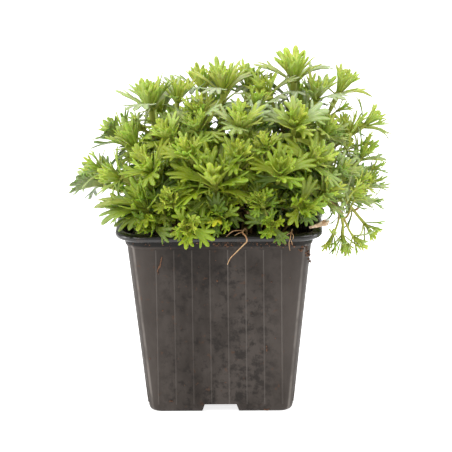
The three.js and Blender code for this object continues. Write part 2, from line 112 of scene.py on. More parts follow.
# Each leafy stem by name: its rosettes as (x, y, z, longest leaf, lean), the main one first
SHOOTS = {
    "far_left": [(-53, 2, 102, 17, (-0.85, -0.1, 0.5))],
    "left_low": [(-44, -14, 102, 18, (-0.95, -0.15, 0.3))],
    "left_mid": [(-37, -12, 116, 18, (-0.5, -0.1, 0.85))],
    "left_front": [(-31, -34, 93, 21, (-0.55, -0.35, 0.75))],
    "left_foot": [(-29, -40, 86, 16, (-0.4, -0.9, 0.1))],
    "top_left": [(-30, 0, 131, 21, (-0.1, 0.0, 1.0))],
    "top_small": [(-18, -3, 135, 15, (0.1, -0.1, 1.0))],
    "top_middle": [(2, 2, 138, 20, (0.0, 0.0, 1.0)), (-8, -12, 130, 15, (-0.3, -0.4, 0.9))],
    "top_right": [(33, 10, 141, 20, (0.0, 0.0, 1.0)), (21, 2, 136, 16, (-0.4, -0.1, 0.9))],
    "top_far_right": [(43, 3, 134, 16, (0.1, -0.1, 1.0))],
    "right_high": [(53, 10, 135, 18, (0.4, 0.0, 0.95))],
    "right_pair": [(65, 6, 121, 15, (0.8, 0.0, 0.6)), (57, 0, 119, 14, (-0.1, -0.2, 1.0))],
    "right_side": [(63, 2, 107, 14, (0.6, -0.3, 0.8))],
    "right_out": [(65, 0, 95, 15, (0.75, 0.0, 0.65))],
    "right_low": [(56, -17, 93, 17, (0.85, -0.4, 0.35))],
    "mid_left": [(-29, -30, 109, 17)],
    "mid_high_left": [(-21, -22, 121, 16)],
    "big_front": [(-1, -38, 105, 24, (-0.05, -0.4, 0.9))],
    "foot_left": [(-13, -45, 87, 14, (0.0, -0.95, 0.1)), (-20, -43, 98, 11, (-0.2, -0.8, 0.5))],
    "foot_middle": [(1, -43, 90, 13, (-0.1, -0.9, 0.1))],
    "foot_right": [(23, -45, 88, 15, (0.0, -0.9, 0.25)), (18, -44, 98, 11, (-0.1, -0.8, 0.5))],
    "foot_far_right": [(36, -38, 94, 17, (0.3, -0.9, 0.2))],
    "front_right": [(27, -38, 109, 17, (0.05, -0.75, 0.65))],
    "front_small": [(21, -32, 119, 11, (-0.1, -0.5, 0.85))],
    "front_high": [(33, -19, 126, 17, (0.0, -0.7, 0.75))],
    "front_centre": [(9, -36, 115, 15)],
    "front_left": [(-12, -34, 116, 15)],
    "upper_centre": [(10, -24, 127, 17)],
    "upper_left": [(-9, -22, 125, 14)],
    "upper_right": [(16, -10, 133, 14)],
    "mid_right": [(41, -27, 111, 17)],
    "high_right": [(47, -9, 120, 14)],
    "low_right": [(45, -31, 97, 16)],
    "right_front": [(52, -19, 104, 15)],
}

# Shoots that are thinner, with smaller leaves and more air between them
OPEN_SHOOTS = {
    "far_left", "left_low", "right_high", "right_pair", "right_side", "right_out", "right_low",
    "trailing_out", "trailing_down",
}
# Shoots at the foot of the cushion, with fewer leaves in each rosette
FOOT_SHOOTS = {"left_foot", "foot_middle", "foot_right", "foot_far_right", "left_front"}
# Leaves that are smaller or larger than their solid's, as a share of its size
CROWN_SIZES = {
    "far_left": 0.84, "left_low": 0.88, "left_foot": 0.9, "foot_right": 0.8, "foot_far_right": 0.9,
    "trailing_down": 1.12, "trailing_out": 1.1,
}

# How much younger the leaves of a shoot look than others at their height, on the scale where old is 1
YOUNGER = {"foot_left": 0.3, "trailing_out": 0.8, "trailing_down": 0.8}

# Small rosettes on side stems of a shoot, as (x, y, z, longest leaf, lean)
SMALL_ROSETTES = {
    "left_low": [(-44, -27, 92, 13, (-0.85, -0.4, 0.2))],
    "right_pair": [(64, 3, 113, 8.5, (0.7, -0.3, 0.5)), (56, -6, 112, 8, (0.2, -0.8, 0.5))],
    "right_side": [(69, 2, 102, 8, (0.9, -0.2, 0.3)), (60, -9, 99, 8.5, (0.3, -0.9, 0.2))],
    "right_out": [(68, -3, 88, 8, (0.9, -0.3, 0)), (58, -12, 91, 8, (0.3, -0.9, 0.1))],
    "trailing_down": [(59.5, -23, 75.5, 10, (0.6, -0.3, -0.75))],
}

# Long leaves that arch down from the foot of a rosette: compass angle, length, rise, arch and, where it turns
# yellow, by how much
ARCHING_LEAVES = {
    "left_front": [
        (182, 26, 48, 72), (204, 25, 58, 76), (225, 21, 66, 74), (248, 16, 74, 66), (274, 13, 76, 62),
        (300, 15, 70, 62), (345, 23, 34, 40),
    ],
    "big_front": [(193, 24, 62, 60), (215, 22, 74, 58), (330, 20, 72, 56)],
    "left_foot": [(200, 12, 66, 50), (235, 13, 72, 50)],
    "foot_far_right": [(290, 15, 74, 50), (330, 14, 70, 50)],
    "foot_middle": [(255, 12.5, 70, 50, 0.95)],
    "top_middle": [(250, 19, 84, 60)],
}

# The stems that hang over the rim: the points that draw each one's curve, then its rosettes
TRAILERS = {
    "trailing_out": {
        "start": (29, -8),
        "pulls": [(50, -12, 106), (56, -10, 88)],
        "tips": [(65, -6, 77, 10, (0.6, -0.1, -0.75))],
    },
    "trailing_down": {
        "start": (28, -18),
        "pulls": [(46, -24, 106), (56, -24, 90)],
        "tips": [(54, -22, 75, 11, (0.1, -0.2, -0.95)), (49, -29, 78, 9, (-0.4, -0.6, -0.7))],
    },
}

# The far side's rosettes lie in rows round an ellipsoid: height, first and last angle, rosettes, leaf
CUSHION_MIDDLE = Vector((2, 2, 86))
CUSHION_SIZE = Vector((57, 50, 54))
BACK_ROWS = [(0.12, 14, 166, 5, 19), (0.45, 28, 152, 4, 19), (0.75, 36, 144, 3, 18), (0.93, 62, 118, 2, 17)]
BACK_SEED = 11
BACK_DRIFT = 4

# Specks of peat stuck to the front of the pot: x from and to, height from and to, how many
PEAT_SPECKS = [
    (-2, 8, 76.8, 78.8, 26), (13, 33, 76.6, 79, 34), (37.6, 39.6, 70.5, 73.5, 34),
    (35.5, 38.5, 74.5, 76.5, 16), (34, 36, 74, 75.5, 9), (38.5, 40, 66, 70, 8),
    (-26, 30, 78, 79.4, 22), (-40, -20, 76.4, 78.8, 8), (-32, 36, 5, 72, 16),
]
SPECK_SEED = 77
# Slivers of bark there, each through three points (x, height)
BARK_SLIVERS = [
    [(-24.6, 72.4), (-25.2, 69.8), (-25.6, 67.4)], [(-25.8, 68.2), (-26.6, 66.2), (-26.2, 64.6)],
    [(19.2, 0.9), (20.4, 0.7), (21.6, 1.3)], [(-22.1, 5.2), (-21.6, 5.0), (-21.3, 5.1)],
    [(20.4, 31), (20.5, 29.6), (20.4, 28.4)],
]
SLIVER_STEPS = 6
SLIVER_SIZE = (0.32, 0.26, 0.42)

# The radii of each hanging root and of its side strands
ROOT_RADII = {"root_long": (0.36, 0.2), "root_short": (0.22, 0.15)}
# The strands of each hanging root, from the compost over the rim
HANGING_ROOTS = {
    "root_long": [
        [(12.2, -35, 72), (12.2, -35, 79.5), (11.8, -39.4, 84.6), (10.4, -43.8, 84.4), (11.8, -46, 83.1),
         (12.3, -46.4, 81), (10.7, -46.4, 79.2), (7.3, -45.8, 75.6), (5, -44.8, 72.9), (3.8, -43.4, 69.9)],
        [(11.2, -41.4, 84.5), (7, -45, 85.3), (5, -46.2, 84.5), (3.4, -46.8, 83.1)],
        [(10.4, -43.8, 84.4), (8.6, -45.4, 84.2), (7, -46.4, 83.5)],
    ],
    "root_short": [
        [(31.6, -33.4, 71), (31.6, -33.4, 78.5), (31.9, -38.4, 84), (31.4, -43.6, 84.2), (30.9, -46, 82),
         (30.4, -46.2, 79.8), (30.8, -44.4, 76.2)],
        [(31.4, -43.6, 84.2), (32.3, -45.6, 83.2), (32, -46.6, 81.6)],
        [(31.4, -43.6, 84.2), (29.6, -45.6, 83.6), (28.6, -46.3, 82.6)],
        [(30.9, -46, 82), (31.5, -46.3, 80.6), (31.9, -45.4, 78.8)],
    ],
}

# The dry leaf on the rim's right corner: it lies along its axis, and its back looks outwards
DEAD_LEAF = {
    "seat": Vector((39.2, -37.6, POT_HEIGHT + 1.6)),
    "axis": Vector((0.88, 0.42, 0.14)),
    "out": Vector((0, -0.8, 0.6)),
    "length": 9.8,
    "rise": -8,
    "arch": 30,
    "width": 0.62,
    "thickness": 0.6,
}

# The stage, in metres: each light's place, what it is aimed at, its width, height and watts
LIGHTS = {
    "softbox_top": ((0.05, 0.3, 1.2), (0, 0, 0.1), 0.9, 0.9, 10.5),
    "softbox_left": ((-0.7, -0.8, 1.0), (0, 0, 0.08), 0.7, 0.7, 7),
    "strip_left": ((-1.1, -0.1, 0.25), (0, 0, 0.05), 0.5, 0.6, 6),
    "strip_right": ((1.1, 0.13, 0.2), (0, 0, 0.05), 0.12, 0.6, 2.5),
    "softbox_right": ((0.9, -0.3, 0.9), (0, 0, 0.08), 0.6, 0.7, 4.5),
}
WHITE = (1, 1, 1, 1)
# In millimetres: half the floor's side, what the camera is aimed at and the width of its film
FLOOR_REACH = 4000
CAMERA_TARGET = (2.6, 0, 76.3)
SENSOR_WIDTH = 36


# Settings that a user would change
def colour_setting(name, description, default):
    return bpy.props.FloatVectorProperty(name=name, description=description, default=default, subtype="COLOR")


def number_setting(name, description, default, **kind):
    return bpy.props.FloatProperty(name=name, description=description, default=default, **kind)


def length_setting(name, description, metres):
    return number_setting(name, description, metres, unit="LENGTH")


def angle_setting(name, description, degrees):
    return number_setting(name, description, math.radians(degrees), subtype="ANGLE")


def count_setting(name, description, default, least=0):
    return bpy.props.IntProperty(name=name, description=description, default=default, min=least)


class PotSettings(bpy.types.PropertyGroup):
    """Ribs and colours of the pot"""

    corner_steps: count_setting("Corner steps", "Faces round each corner of the pot", 10, 3)
    ribs_a_side: count_setting("Ribs a side", "Fine upright ribs on each side", 8)
    rib_pitch: length_setting("Rib pitch", "From one rib to the next", 7.75 * MM)
    rib_radius: length_setting("Rib radius", "How far a rib stands out of the wall", 0.4 * MM)
    colour: colour_setting("Plastic", "Grey-brown of the wall", (0.019, 0.014, 0.011))
    # This colour is also painted light: more of it towards the foot and the corners is painted sheen, and
    # less of it near the rim is painted shade.
    haze_and_sheen: colour_setting("Haze", "Dried-on haze on the wall", (0.055, 0.045, 0.039))
    # Painted highlight: the paler colour of the ribs and of a streak down each corner.
    painted_highlight: colour_setting("Worn ribs", "Scuffed plastic along the ribs", (0.15, 0.132, 0.118))
    stain: colour_setting("Stain", "Damp blotches on the wall", (0.009, 0.007, 0.006))
    rust: colour_setting("Rust", "Rusty spots left by the compost", (0.09, 0.038, 0.016))
    # Also painted shade: this black covers the collar under the rolled rim, as well as the rim's own plastic.
    rim: colour_setting("Rim", "Blacker plastic of the rolled rim", (0.007, 0.006, 0.005))
    dust: colour_setting("Dust", "Peaty dust on the collar and rim", (0.05, 0.028, 0.016))


class CompostSettings(bpy.types.PropertyGroup):
    """Crumbs and colours of the compost"""

    crumbs: count_setting("Crumbs", "Crumbs a square metre of compost", 160000)
    crumb_size: length_setting("Crumb size", "Radius of a middling crumb", 0.75 * MM)
    dark: colour_setting("Damp peat", "The darker peat", (0.012, 0.007, 0.004))
    fleck: colour_setting("Stuck flecks", "Rusty peat on the pot", (0.17, 0.07, 0.03))
    light: colour_setting("Dry peat", "The lighter peat", (0.075, 0.038, 0.018))


class FoliageSettings(bpy.types.PropertyGroup):
    """Thickness and colours of the leaves and stems"""

    thickness: number_setting("Thickness", "Leaf thickness as a share of its length", 0.036, subtype="FACTOR")
    heart: colour_setting("Heart leaves", "Youngest leaves", (0.44, 0.515, 0.055))
    grown: colour_setting("Grown leaves", "Full-grown leaves", (0.242, 0.318, 0.005))
    old: colour_setting("Old leaves", "Leaves low on the stems", (0.076, 0.122, 0.006))
    # Painted sheen: paler, greyer colour for grown leaves high up and far out to the sides.
    painted_sheen: colour_setting("High grown leaves", "Greyer leaves high up", (0.41, 0.47, 0.29))
    under: colour_setting("Undersides", "Paler lower side of a leaf", (0.28, 0.38, 0.1))
    vein: colour_setting("Veins", "Lines along the lobes", (0.5, 0.6, 0.28))
    base: colour_setting("Leaf bases", "Pale flattened leaf bases", (0.45, 0.53, 0.075))
    yellow: colour_setting("Yellow leaves", "Leaves that begin to fade", (0.52, 0.5, 0.03))
    dry: colour_setting("Dry leaves", "Withered leaves near the compost", (0.2, 0.105, 0.045))
    stem_top: colour_setting("Young stem", "Stem under a rosette", (0.4, 0.44, 0.07))
    stem_foot: colour_setting("Old stem", "Stem near the compost", (0.3, 0.19, 0.06))


class LitterSettings(bpy.types.PropertyGroup):
    """Colours of the hanging roots and the dry leaf"""

    root_pale: colour_setting("Pale root", "Paler fibres of the hanging roots", (0.52, 0.34, 0.18))
    root_deep: colour_setting("Deep root", "Darker fibres of the hanging roots", (0.32, 0.16, 0.065))
    leaf_pale: colour_setting("Pale dead leaf", "Paler patches of the leaf on the rim", (0.86, 0.68, 0.48))
    leaf_deep: colour_setting("Deep dead leaf", "Darker patches of the leaf on the rim", (0.48, 0.28, 0.15))


class StageSettings(bpy.types.PropertyGroup):
    """Camera, floor and light"""

    distance: length_setting("Camera distance", "From the plant's middle", 1.5)
    azimuth: angle_setting("Camera azimuth", "To the right of the front", 1)
    elevation: angle_setting("Camera elevation", "Above the level", 13.9)
    roll: angle_setting("Camera roll", "Anticlockwise turn of the camera", -0.6)
    focal_length: number_setting("Focal length", "In millimetres, behind a film 36 mm wide", 269.6)
    floor: colour_setting("Floor", "Pale floor", (0.7, 0.7, 0.7))
    floor_glow: number_setting("Floor glow", "Light of the floor's own", 0.8)
    room_light: number_setting("Room light", "Even light from all round", 0.72)


# Draws and curves
def seeded(seed):
    """A source of seeded draws from 0 to 1, the same one as the solids are built with."""
    mask = 0xFFFFFFFF
    state = seed & mask

    def draw():
        nonlocal state
        state = (state + 0x6D2B79F5) & mask
        mixed = ((state ^ (state >> 15)) * (state | 1)) & mask
        mixed = ((mixed + (((mixed ^ (mixed >> 7)) * (mixed | 61)) & mask)) & mask) ^ mixed
        return (mixed ^ (mixed >> 14)) / 2**32

    return draw


def blend(a, b, share):
    return a + (b - a) * share


class Bezier:
    """A cubic curve through four control points."""

    def __init__(self, *controls):
        self.controls = [Vector(p) for p in controls]

    def point(self, t):
        a, b, c, d = self.controls
        return a * (1 - t) ** 3 + b * 3 * t * (1 - t) ** 2 + c * 3 * t * t * (1 - t) + d * t**3

    def tangent(self, t):
        a, b, c, d = self.controls
        slope = (b - a) * (1 - t) ** 2 + (c - b) * 2 * t * (1 - t) + (d - c) * t * t
        return slope.normalized()

    def length(self):
        points = [self.point(i / 8) for i in range(9)]
        return sum((b - a).length for a, b in zip(points, points[1:]))


def bent_curve(start, leaving, foot, arriving, share):
    reach = share * (foot - start).length
    return Bezier(start, start + leaving * reach, foot - arriving * reach, foot)


def soil_height(x, y):
    out = min(1, math.hypot(x, y) / WALL_TOP[1])
    bump = math.sin(0.31 * x + 1.3) * math.cos(0.27 * y - 0.4) + 0.6 * math.sin(0.19 * (x - y))
    return blend(SOIL["crown"], SOIL["edge"], out * out) + SOIL["bump"] * bump * (1 - out**4)


# Meshes
def linked(name, data):
    """A new object in the scene that shows some data."""
    made = bpy.data.objects.new(name, data)
    bpy.context.scene.collection.objects.link(made)
    return made


def mesh_object(name, points, faces=(), edges=()):
    """A new object from points in millimetres."""
    mesh = bpy.data.meshes.new(name)
    mesh.from_pydata([tuple(c * MM for c in p) for p in points], edges, faces)
    mesh.validate()
    mesh.shade_smooth()
    return linked(name, mesh)


def lumps_object(name, lumps):
    """A new object from edited mesh data, which is freed."""
    mesh = bpy.data.meshes.new(name)
    lumps.to_mesh(mesh)
    lumps.free()
    mesh.shade_smooth()
    return linked(name, mesh)


def take_away(made):
    data = made.data
    bpy.data.objects.remove(made)
    bpy.data.meshes.remove(data)


def settled(made):
    """Turns an object's modifiers into plain mesh."""
    bpy.context.view_layer.update()
    depsgraph = bpy.context.evaluated_depsgraph_get()
    mesh = bpy.data.meshes.new_from_object(made.evaluated_get(depsgraph), depsgraph=depsgraph)
    old = made.data
    made.modifiers.clear()
    made.data = mesh
    bpy.data.meshes.remove(old)
    mesh.name = made.name
    return made


def join_cut(made, other, operation):
    """Joins another closed mesh to this one, cuts it away or keeps what both share. The other goes."""
    step = made.modifiers.new("join_cut", "BOOLEAN")
    step.object = other
    step.operation = operation
    step.solver = "MANIFOLD"
    settled(made)
    take_away(other)
    return made


def finish_piece(made, slot, *nodes):
    """Hangs a finished piece on the frame in place of the solids that it stands for."""
    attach(made, "root")
    if nodes:
        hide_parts(*nodes)
    return made


def set_material(made, material):
    made.data.materials.clear()
    made.data.materials.append(material)


# Node trees
class Wire:
    """What comes out of a node. Arithmetic on it adds the math nodes that work out the result."""

    def __init__(self, socket):
        self.socket = socket
        self.tree = socket.id_data
        self.is_vector = socket.type == "VECTOR"

    def calc(self, operation, *values):
        kind = "ShaderNodeVectorMath" if self.is_vector else "ShaderNodeMath"
        return wire(self.tree, kind, dict(enumerate((self, *values))), operation=operation)

    def __add__(self, other):
        return self.calc("ADD", other)

    def __sub__(self, other):
        return self.calc("SUBTRACT", other)

    def __mul__(self, other):
        if self.is_vector:
            return wire(self.tree, "ShaderNodeVectorMath", {0: self, "Scale": other}, operation="SCALE")
        return self.calc("MULTIPLY", other)

    def __truediv__(self, other):
        return self.calc("DIVIDE", other)

    def __abs__(self):
        return self.calc("ABSOLUTE")


def set_inputs(node, inputs):
    """Links each named input of a node to a wire, or sets it to a plain value."""
    for key, value in inputs.items():
        if isinstance(value, Wire):
            value.tree.links.new(value.socket, node.inputs[key])
        else:
            node.inputs[key].default_value = value


def add_node(tree, kind, inputs, **settings):
    made = tree.nodes.new(kind)
    for name, value in settings.items():
        setattr(made, name, value)
    set_inputs(made, inputs)
    return made


def wire(tree, kind, inputs, output=0, **settings):
    """Adds a node and gives one of its outputs."""
    return Wire(add_node(tree, kind, inputs, **settings).outputs[output])


def parts_of(vector):
    """The three numbers of a vector."""
    return [Wire(socket) for socket in add_node(vector.tree, "ShaderNodeSeparateXYZ", {0: vector}).outputs]


def geometry_tree(name, **inputs):
    """A geometry node tree with one geometry in and out, and inputs of its own, each named with its kind."""
    tree = bpy.data.node_groups.new(name, "GeometryNodeTree")
    for label, kind in {"Geometry": "Geometry", **inputs}.items():
        tree.interface.new_socket(label, in_out="INPUT", socket_type=f"NodeSocket{kind}")
    tree.interface.new_socket("Geometry", in_out="OUTPUT", socket_type="NodeSocketGeometry")
    given = {socket.name: Wire(socket) for socket in tree.nodes.new("NodeGroupInput").outputs}
    return tree, given


def hand_out(geometry):
    """Makes a geometry the result of its tree."""
    set_inputs(geometry.tree.nodes.new("NodeGroupOutput"), {0: geometry})


def grow(made, tree, values):
    """Runs a geometry node tree on an object, its inputs given by their names, and keeps the plain mesh."""
    step = made.modifiers.new(tree.name, "NODES")
    step.node_group = tree
    keys = {item.name: item.identifier for item in tree.interface.items_tree if item.in_out == "INPUT"}
    for label, value in values.items():
        step[keys[label]] = value
    return settled(made)


def attribute_of(tree, name, kind="FLOAT"):
    return wire(tree, "GeometryNodeInputNamedAttribute", {"Name": name}, data_type=kind)


def marked(geometry, name, value):
    """Stores a number on each point of a geometry."""
    inputs = {"Geometry": geometry, "Name": name, "Value": value}
    return wire(geometry.tree, "GeometryNodeStoreNamedAttribute", inputs, data_type="FLOAT", domain="POINT")


def joined(*geometries):
    whole = geometries[0].tree.nodes.new("GeometryNodeJoinGeometry")
    for geometry in geometries:
        set_inputs(whole, {0: geometry})
    return Wire(whole.outputs[0])


def dressed(geometry, material):
    return wire(geometry.tree, "GeometryNodeSetMaterial", {"Geometry": geometry, "Material": material})


def placed_on(points, instance, inputs):
    """Real copies of a geometry at points."""
    inputs = {"Points": points, "Instance": instance, **inputs}
    copies = wire(points.tree, "GeometryNodeInstanceOnPoints", inputs)
    return wire(points.tree, "GeometryNodeRealizeInstances", {0: copies})


def tube_along(line, sides, radius, scale=1.0):
    """A closed tube along curves, as thick as radius times scale."""
    tree = line.tree
    section = wire(tree, "GeometryNodeCurvePrimitiveCircle", {"Resolution": sides, "Radius": radius})
    inputs = {"Curve": line, "Profile Curve": section, "Scale": scale, "Fill Caps": True}
    return wire(tree, "GeometryNodeCurveToMesh", inputs)


def store(mesh, name, kind, values):
    field = "vector" if kind == "FLOAT_VECTOR" else "value"
    attribute = mesh.attributes.new(name, kind, "POINT")
    attribute.data.foreach_set(field, np.asarray(values, np.float32).ravel())


# Materials
def new_material(name):
    material = bpy.data.materials.new(name)
    material.use_nodes = True
    tree = material.node_tree
    return material, tree, tree.nodes["Principled BSDF"]


def shader_attribute(tree, name):
    return wire(tree, "ShaderNodeAttribute", {}, "Fac", attribute_name=name)


def own_place(tree):
    """The object's own coordinates."""
    return wire(tree, "ShaderNodeTexCoord", {}, "Object")


def mixed(share, a, b):
    """Colour a turning into colour b as share goes from 0 to 1."""
    colours = [colour if isinstance(colour, Wire) else (*colour, 1) for colour in (a, b)]
    inputs = {0: share, 6: colours[0], 7: colours[1]}
    return wire(share.tree, "ShaderNodeMix", inputs, 2, data_type="RGBA")


def ramped(value, low, high, to_low=0.0, to_high=1.0):
    """A number from to_low to to_high, as value goes from low to high."""
    inputs = {"Value": value, "From Min": low, "From Max": high, "To Min": to_low, "To Max": to_high}
    return wire(value.tree, "ShaderNodeMapRange", inputs, interpolation_type="SMOOTHSTEP")


def spots(tree, scale, detail=3.0, roughness=0.55, stretch=None):
    """Noise on the object's own coordinates, in spots a metre."""
    place = own_place(tree)
    if stretch:
        place = wire(tree, "ShaderNodeMapping", {"Vector": place, "Scale": stretch})
    inputs = {"Vector": place, "Scale": scale, "Detail": detail, "Roughness": roughness}
    return wire(tree, "ShaderNodeTexNoise", inputs, "Fac")


def raised(height, distance, strength=1.0):
    """A surface direction that shows a height as fine relief."""
    return wire(height.tree, "ShaderNodeBump", {"Height": height, "Distance": distance, "Strength": strength})


def leaf_material(look):
    """Soft fleshy leaf: bright in a rosette's heart, deeper when grown, pale at its base and veins, with
    painted sheen on high and outer grown leaves and painted shade at its lobes' edges.
    """
    material, tree, shader = new_material("saxifrage_leaf")
    names = ("age", "tint", "shade", "yellow", "dry", "along", "vein", "under")
    age, tint, shade, yellow, dry, along, vein, under = [shader_attribute(tree, name) for name in names]
    x, _, z = parts_of(own_place(tree))
    # A painted sheen: grown leaves are paler and greyer where they stand high or far out to the sides.
    high = ramped(z, 120 * MM, 142 * MM, 0.0, 0.95)
    outer = ramped(abs(x), 38 * MM, 62 * MM, 0.0, 0.5)
    patches = spots(tree, 260, 2.0)
    aged = age + (patches - 0.5) * 0.2
    colour = mixed(ramped(aged, 0.0, 0.62), look.heart, look.grown)
    colour = mixed(ramped(aged, 0.62, 1.0), colour, look.old)
    colour = mixed(ramped(aged, 0.12, 0.42) * high.calc("MAXIMUM", outer), colour, look.painted_sheen)
    colour = mixed(under * 0.35, colour, look.under)
    lines = ramped(vein, 0.78, 1.0) + ramped(abs(vein - 0.5), 0.16, 0.02, 0.0, 0.6)
    colour = mixed(lines * 0.17, colour, look.vein)
    # Painted shade: darker towards the lobes' edges and along the creases to the sinuses.
    colour = mixed(ramped(vein, 0.22, 0.0, 0.0, 0.3), colour, look.old)
    pale = ramped(along, 0.52, 0.1) * ramped(age, 1.0, 0.3, 0.3, 0.95)
    colour = mixed(pale, colour, look.base)
    colour = wire(tree, "ShaderNodeHueSaturation", {
        "Color": colour,
        "Hue": ramped(tint, 0.0, 1.0, 0.489, 0.514),
        "Value": ramped(shade, 0.0, 1.0, 0.85, 1.06),
    })
    colour = mixed(dry, mixed(yellow, colour, look.yellow), look.dry)
    grain = spots(tree, 2200, 3.0) * 0.5
    set_inputs(shader, {
        "Base Color": colour,
        "Roughness": ramped(patches, 0.35, 0.65, 0.28, 0.46),
        "Specular IOR Level": ramped(z, 90 * MM, 130 * MM, 0.34, 0.5),
        "Subsurface Weight": 0.35,
        "Subsurface Radius": (0.5, 1.0, 0.15),
        "Subsurface Scale": 0.9 * MM,
        "Normal": raised(grain - lines, 0.12 * MM, 0.7),
    })
    return material


def stem_material(look):
    """Green under the rosettes and brown near the compost, with streaks."""
    material, tree, shader = new_material("saxifrage_stem")
    streaks = spots(tree, 420, 3.0)
    share = shader_attribute(tree, "along_stem") + (streaks - 0.5) * 0.5
    colour = mixed(ramped(share, 0.45, 0.95), look.stem_foot, look.stem_top)
    set_inputs(shader, {"Base Color": colour, "Roughness": 0.55, "Normal": raised(streaks, 0.2 * MM)})
    return material


def pot_material(look):
    """Thin dark plastic: hazy and blotched on its wall, paler on its ribs and down its corners as painted
    highlights, paler towards its corners and foot as painted sheen, darker towards its rim as painted shade,
    blacker on its rim.
    """
    material, tree, shader = new_material("pot_plastic")
    x, y, height = parts_of(own_place(tree))
    aside = abs(x).calc("MINIMUM", abs(y))
    haze_and_sheen = spots(tree, 30, 4.0, 0.65, (1.0, 1.0, 0.35))
    clouds = spots(tree, 115, 3.0, 0.6, (1.0, 1.0, 0.6))
    regions = spots(tree, 26, 2.0, 0.5)
    blotches = spots(tree, 270, 5.0, 0.66)
    fine = spots(tree, 900, 3.0)
    haze_and_painted_shade = ramped(haze_and_sheen, 0.32, 0.68) + ramped(clouds, 0.3, 0.7, -0.2, 0.2)
    # Darker towards the rim as painted shade under it, and paler towards the foot.
    haze_and_painted_shade = haze_and_painted_shade + ramped(height, 78 * MM, 20 * MM, -0.45, 0.25)
    colour = mixed(haze_and_painted_shade.calc("MAXIMUM", 0.0), look.colour, look.haze_and_sheen)
    # Paler towards the corners: a painted sheen.
    colour = mixed(ramped(aside, 16 * MM, 30 * MM, 0.0, 0.5), colour, look.haze_and_sheen)
    stained = ramped(blotches + (regions - 0.5) * 0.5, 0.45, 0.67) * ramped(aside, 32 * MM, 14 * MM)
    colour = mixed(stained * 0.72, colour, look.stain)
    # A painted highlight: a paler streak down each rounded corner.
    corner = ramped(abs(abs(x) - abs(y)), 1.6 * MM, 0.3 * MM)
    colour = mixed(corner * ramped(clouds, 0.35, 0.6, 0.3, 0.85), colour, look.painted_highlight)
    # A painted highlight: the ribs are paler where they catch the light.
    painted_rib_highlight = shader_attribute(tree, "rib") * ramped(haze_and_sheen, 0.3, 0.7, 0.08, 0.34)
    colour = mixed(painted_rib_highlight, colour, look.painted_highlight)
    rusty = ramped(spots(tree, 330, 4.0, 0.6), 0.62, 0.7) * 0.35
    colour = mixed(rusty, colour, look.rust)
    # Blacker from the upper collar up: the rolled rim's own black plastic, and painted shade on the collar
    # under the roll.
    on_collar = ramped(height, 76.8 * MM, 77.5 * MM)
    on_rim = ramped(height, 79 * MM, 79.7 * MM)
    colour = mixed(on_collar, colour, look.rim)
    dusty = on_collar * ramped(spots(tree, 160, 5.0, 0.7), 0.52, 0.66, 0.0, 0.45)
    set_inputs(shader, {
        "Base Color": mixed(dusty, colour, look.dust),
        "Roughness": ramped(blotches, 0.4, 0.7, 0.42, 0.55) + fine * 0.08 - on_rim * 0.28,
        "Specular IOR Level": ramped(on_rim, 0.0, 1.0, 0.16, 0.5),
        "Normal": raised(fine + blotches * 1.5, 0.12 * MM, 0.6),
    })
    return material


def peat_material(look):
    material, tree, shader = new_material("peat")
    grains = spots(tree, 700, 5.0, 0.7)
    colour = mixed(ramped(grains, 0.42, 0.7), look.dark, look.light)
    set_inputs(shader, {"Base Color": colour, "Roughness": 0.92, "Normal": raised(grains, 0.6 * MM)})
    return material


def dry_material(name, pale, deep, scale):
    """Dry fibres: spots of two colours, so many a metre."""
    material, tree, shader = new_material(name)
    fibres = spots(tree, scale, 4.0, 0.6)
    colour = mixed(ramped(fibres, 0.35, 0.65), pale, deep)
    set_inputs(shader, {"Base Color": colour, "Roughness": 0.75, "Normal": raised(fibres, 0.3 * MM)})
    return material


# The pot
def square_ring(z, half, corner, steps):
    """A square with rounded corners, centred on the axis."""
    points = []
    for quarter in range(4):
        to_corner = math.radians(45 + 90 * quarter)
        for step in range(steps + 1):
            angle = math.radians(90) * (quarter + step / steps)
            reach = math.sqrt(2) * (half - corner)
            x = reach * math.cos(to_corner) + corner * math.cos(angle)
            y = reach * math.sin(to_corner) + corner * math.sin(angle)
            points.append((x, y, z(x, y) if callable(z) else z))
    return points


def loft(name, rings):
    """A closed body through rings of points that run the same way round, flat at both ends."""
    sides = len(rings[0])
    points = [p for ring in rings for p in ring]
    faces = []
    for ring in range(0, (len(rings) - 1) * sides, sides):
        for i in range(sides):
            j = (i + 1) % sides
            faces.append((ring + i, ring + j, ring + sides + j, ring + sides + i))
    faces.append(tuple(reversed(range(sides))))
    faces.append(tuple(range(len(points) - sides, len(points))))
    return mesh_object(name, points, faces)


def wall_at(z, inset=0.0):
    share = (z - WALL_FOOT[0]) / (WALL_TOP[0] - WALL_FOOT[0])
    return z, blend(WALL_FOOT[1], WALL_TOP[1], share) - inset, blend(WALL_FOOT[2], WALL_TOP[2], share) - inset


def channel(inset):
    """The drain channel in from the middle of the front side, larger by inset on every face."""
    foot, head = NOTCH["foot"] / 2 + inset, NOTCH["head"] / 2 + inset
    low, high = -1 - inset, NOTCH["height"] + inset
    near, far = -WALL_FOOT[1] - 3, NOTCH["reach"] + inset - WALL_FOOT[1]
    section = [(-foot, low), (foot, low), (head, high), (-head, high)]
    return loft("channel", [[(x, y, z) for x, z in section] for y in (far, near)])


def drain_hole():
    radius, sides = DRAIN_HOLE["radius"], 24
    middle = NOTCH["reach"] - DRAIN_HOLE["from_end"] - WALL_FOOT[1]
    angles = [FULL_TURN * i / sides for i in range(sides)]
    ring = [(radius * math.cos(a), middle + radius * math.sin(a)) for a in angles]
    return loft("drain_hole", [[(x, y, z) for x, y in ring] for z in (-4, 8)])


def on_each_side(maker):
    for quarter in range(4):
        made = maker()
        made.data.transform(Matrix.Rotation(math.radians(90 * quarter), 4, "Z"))
        yield made


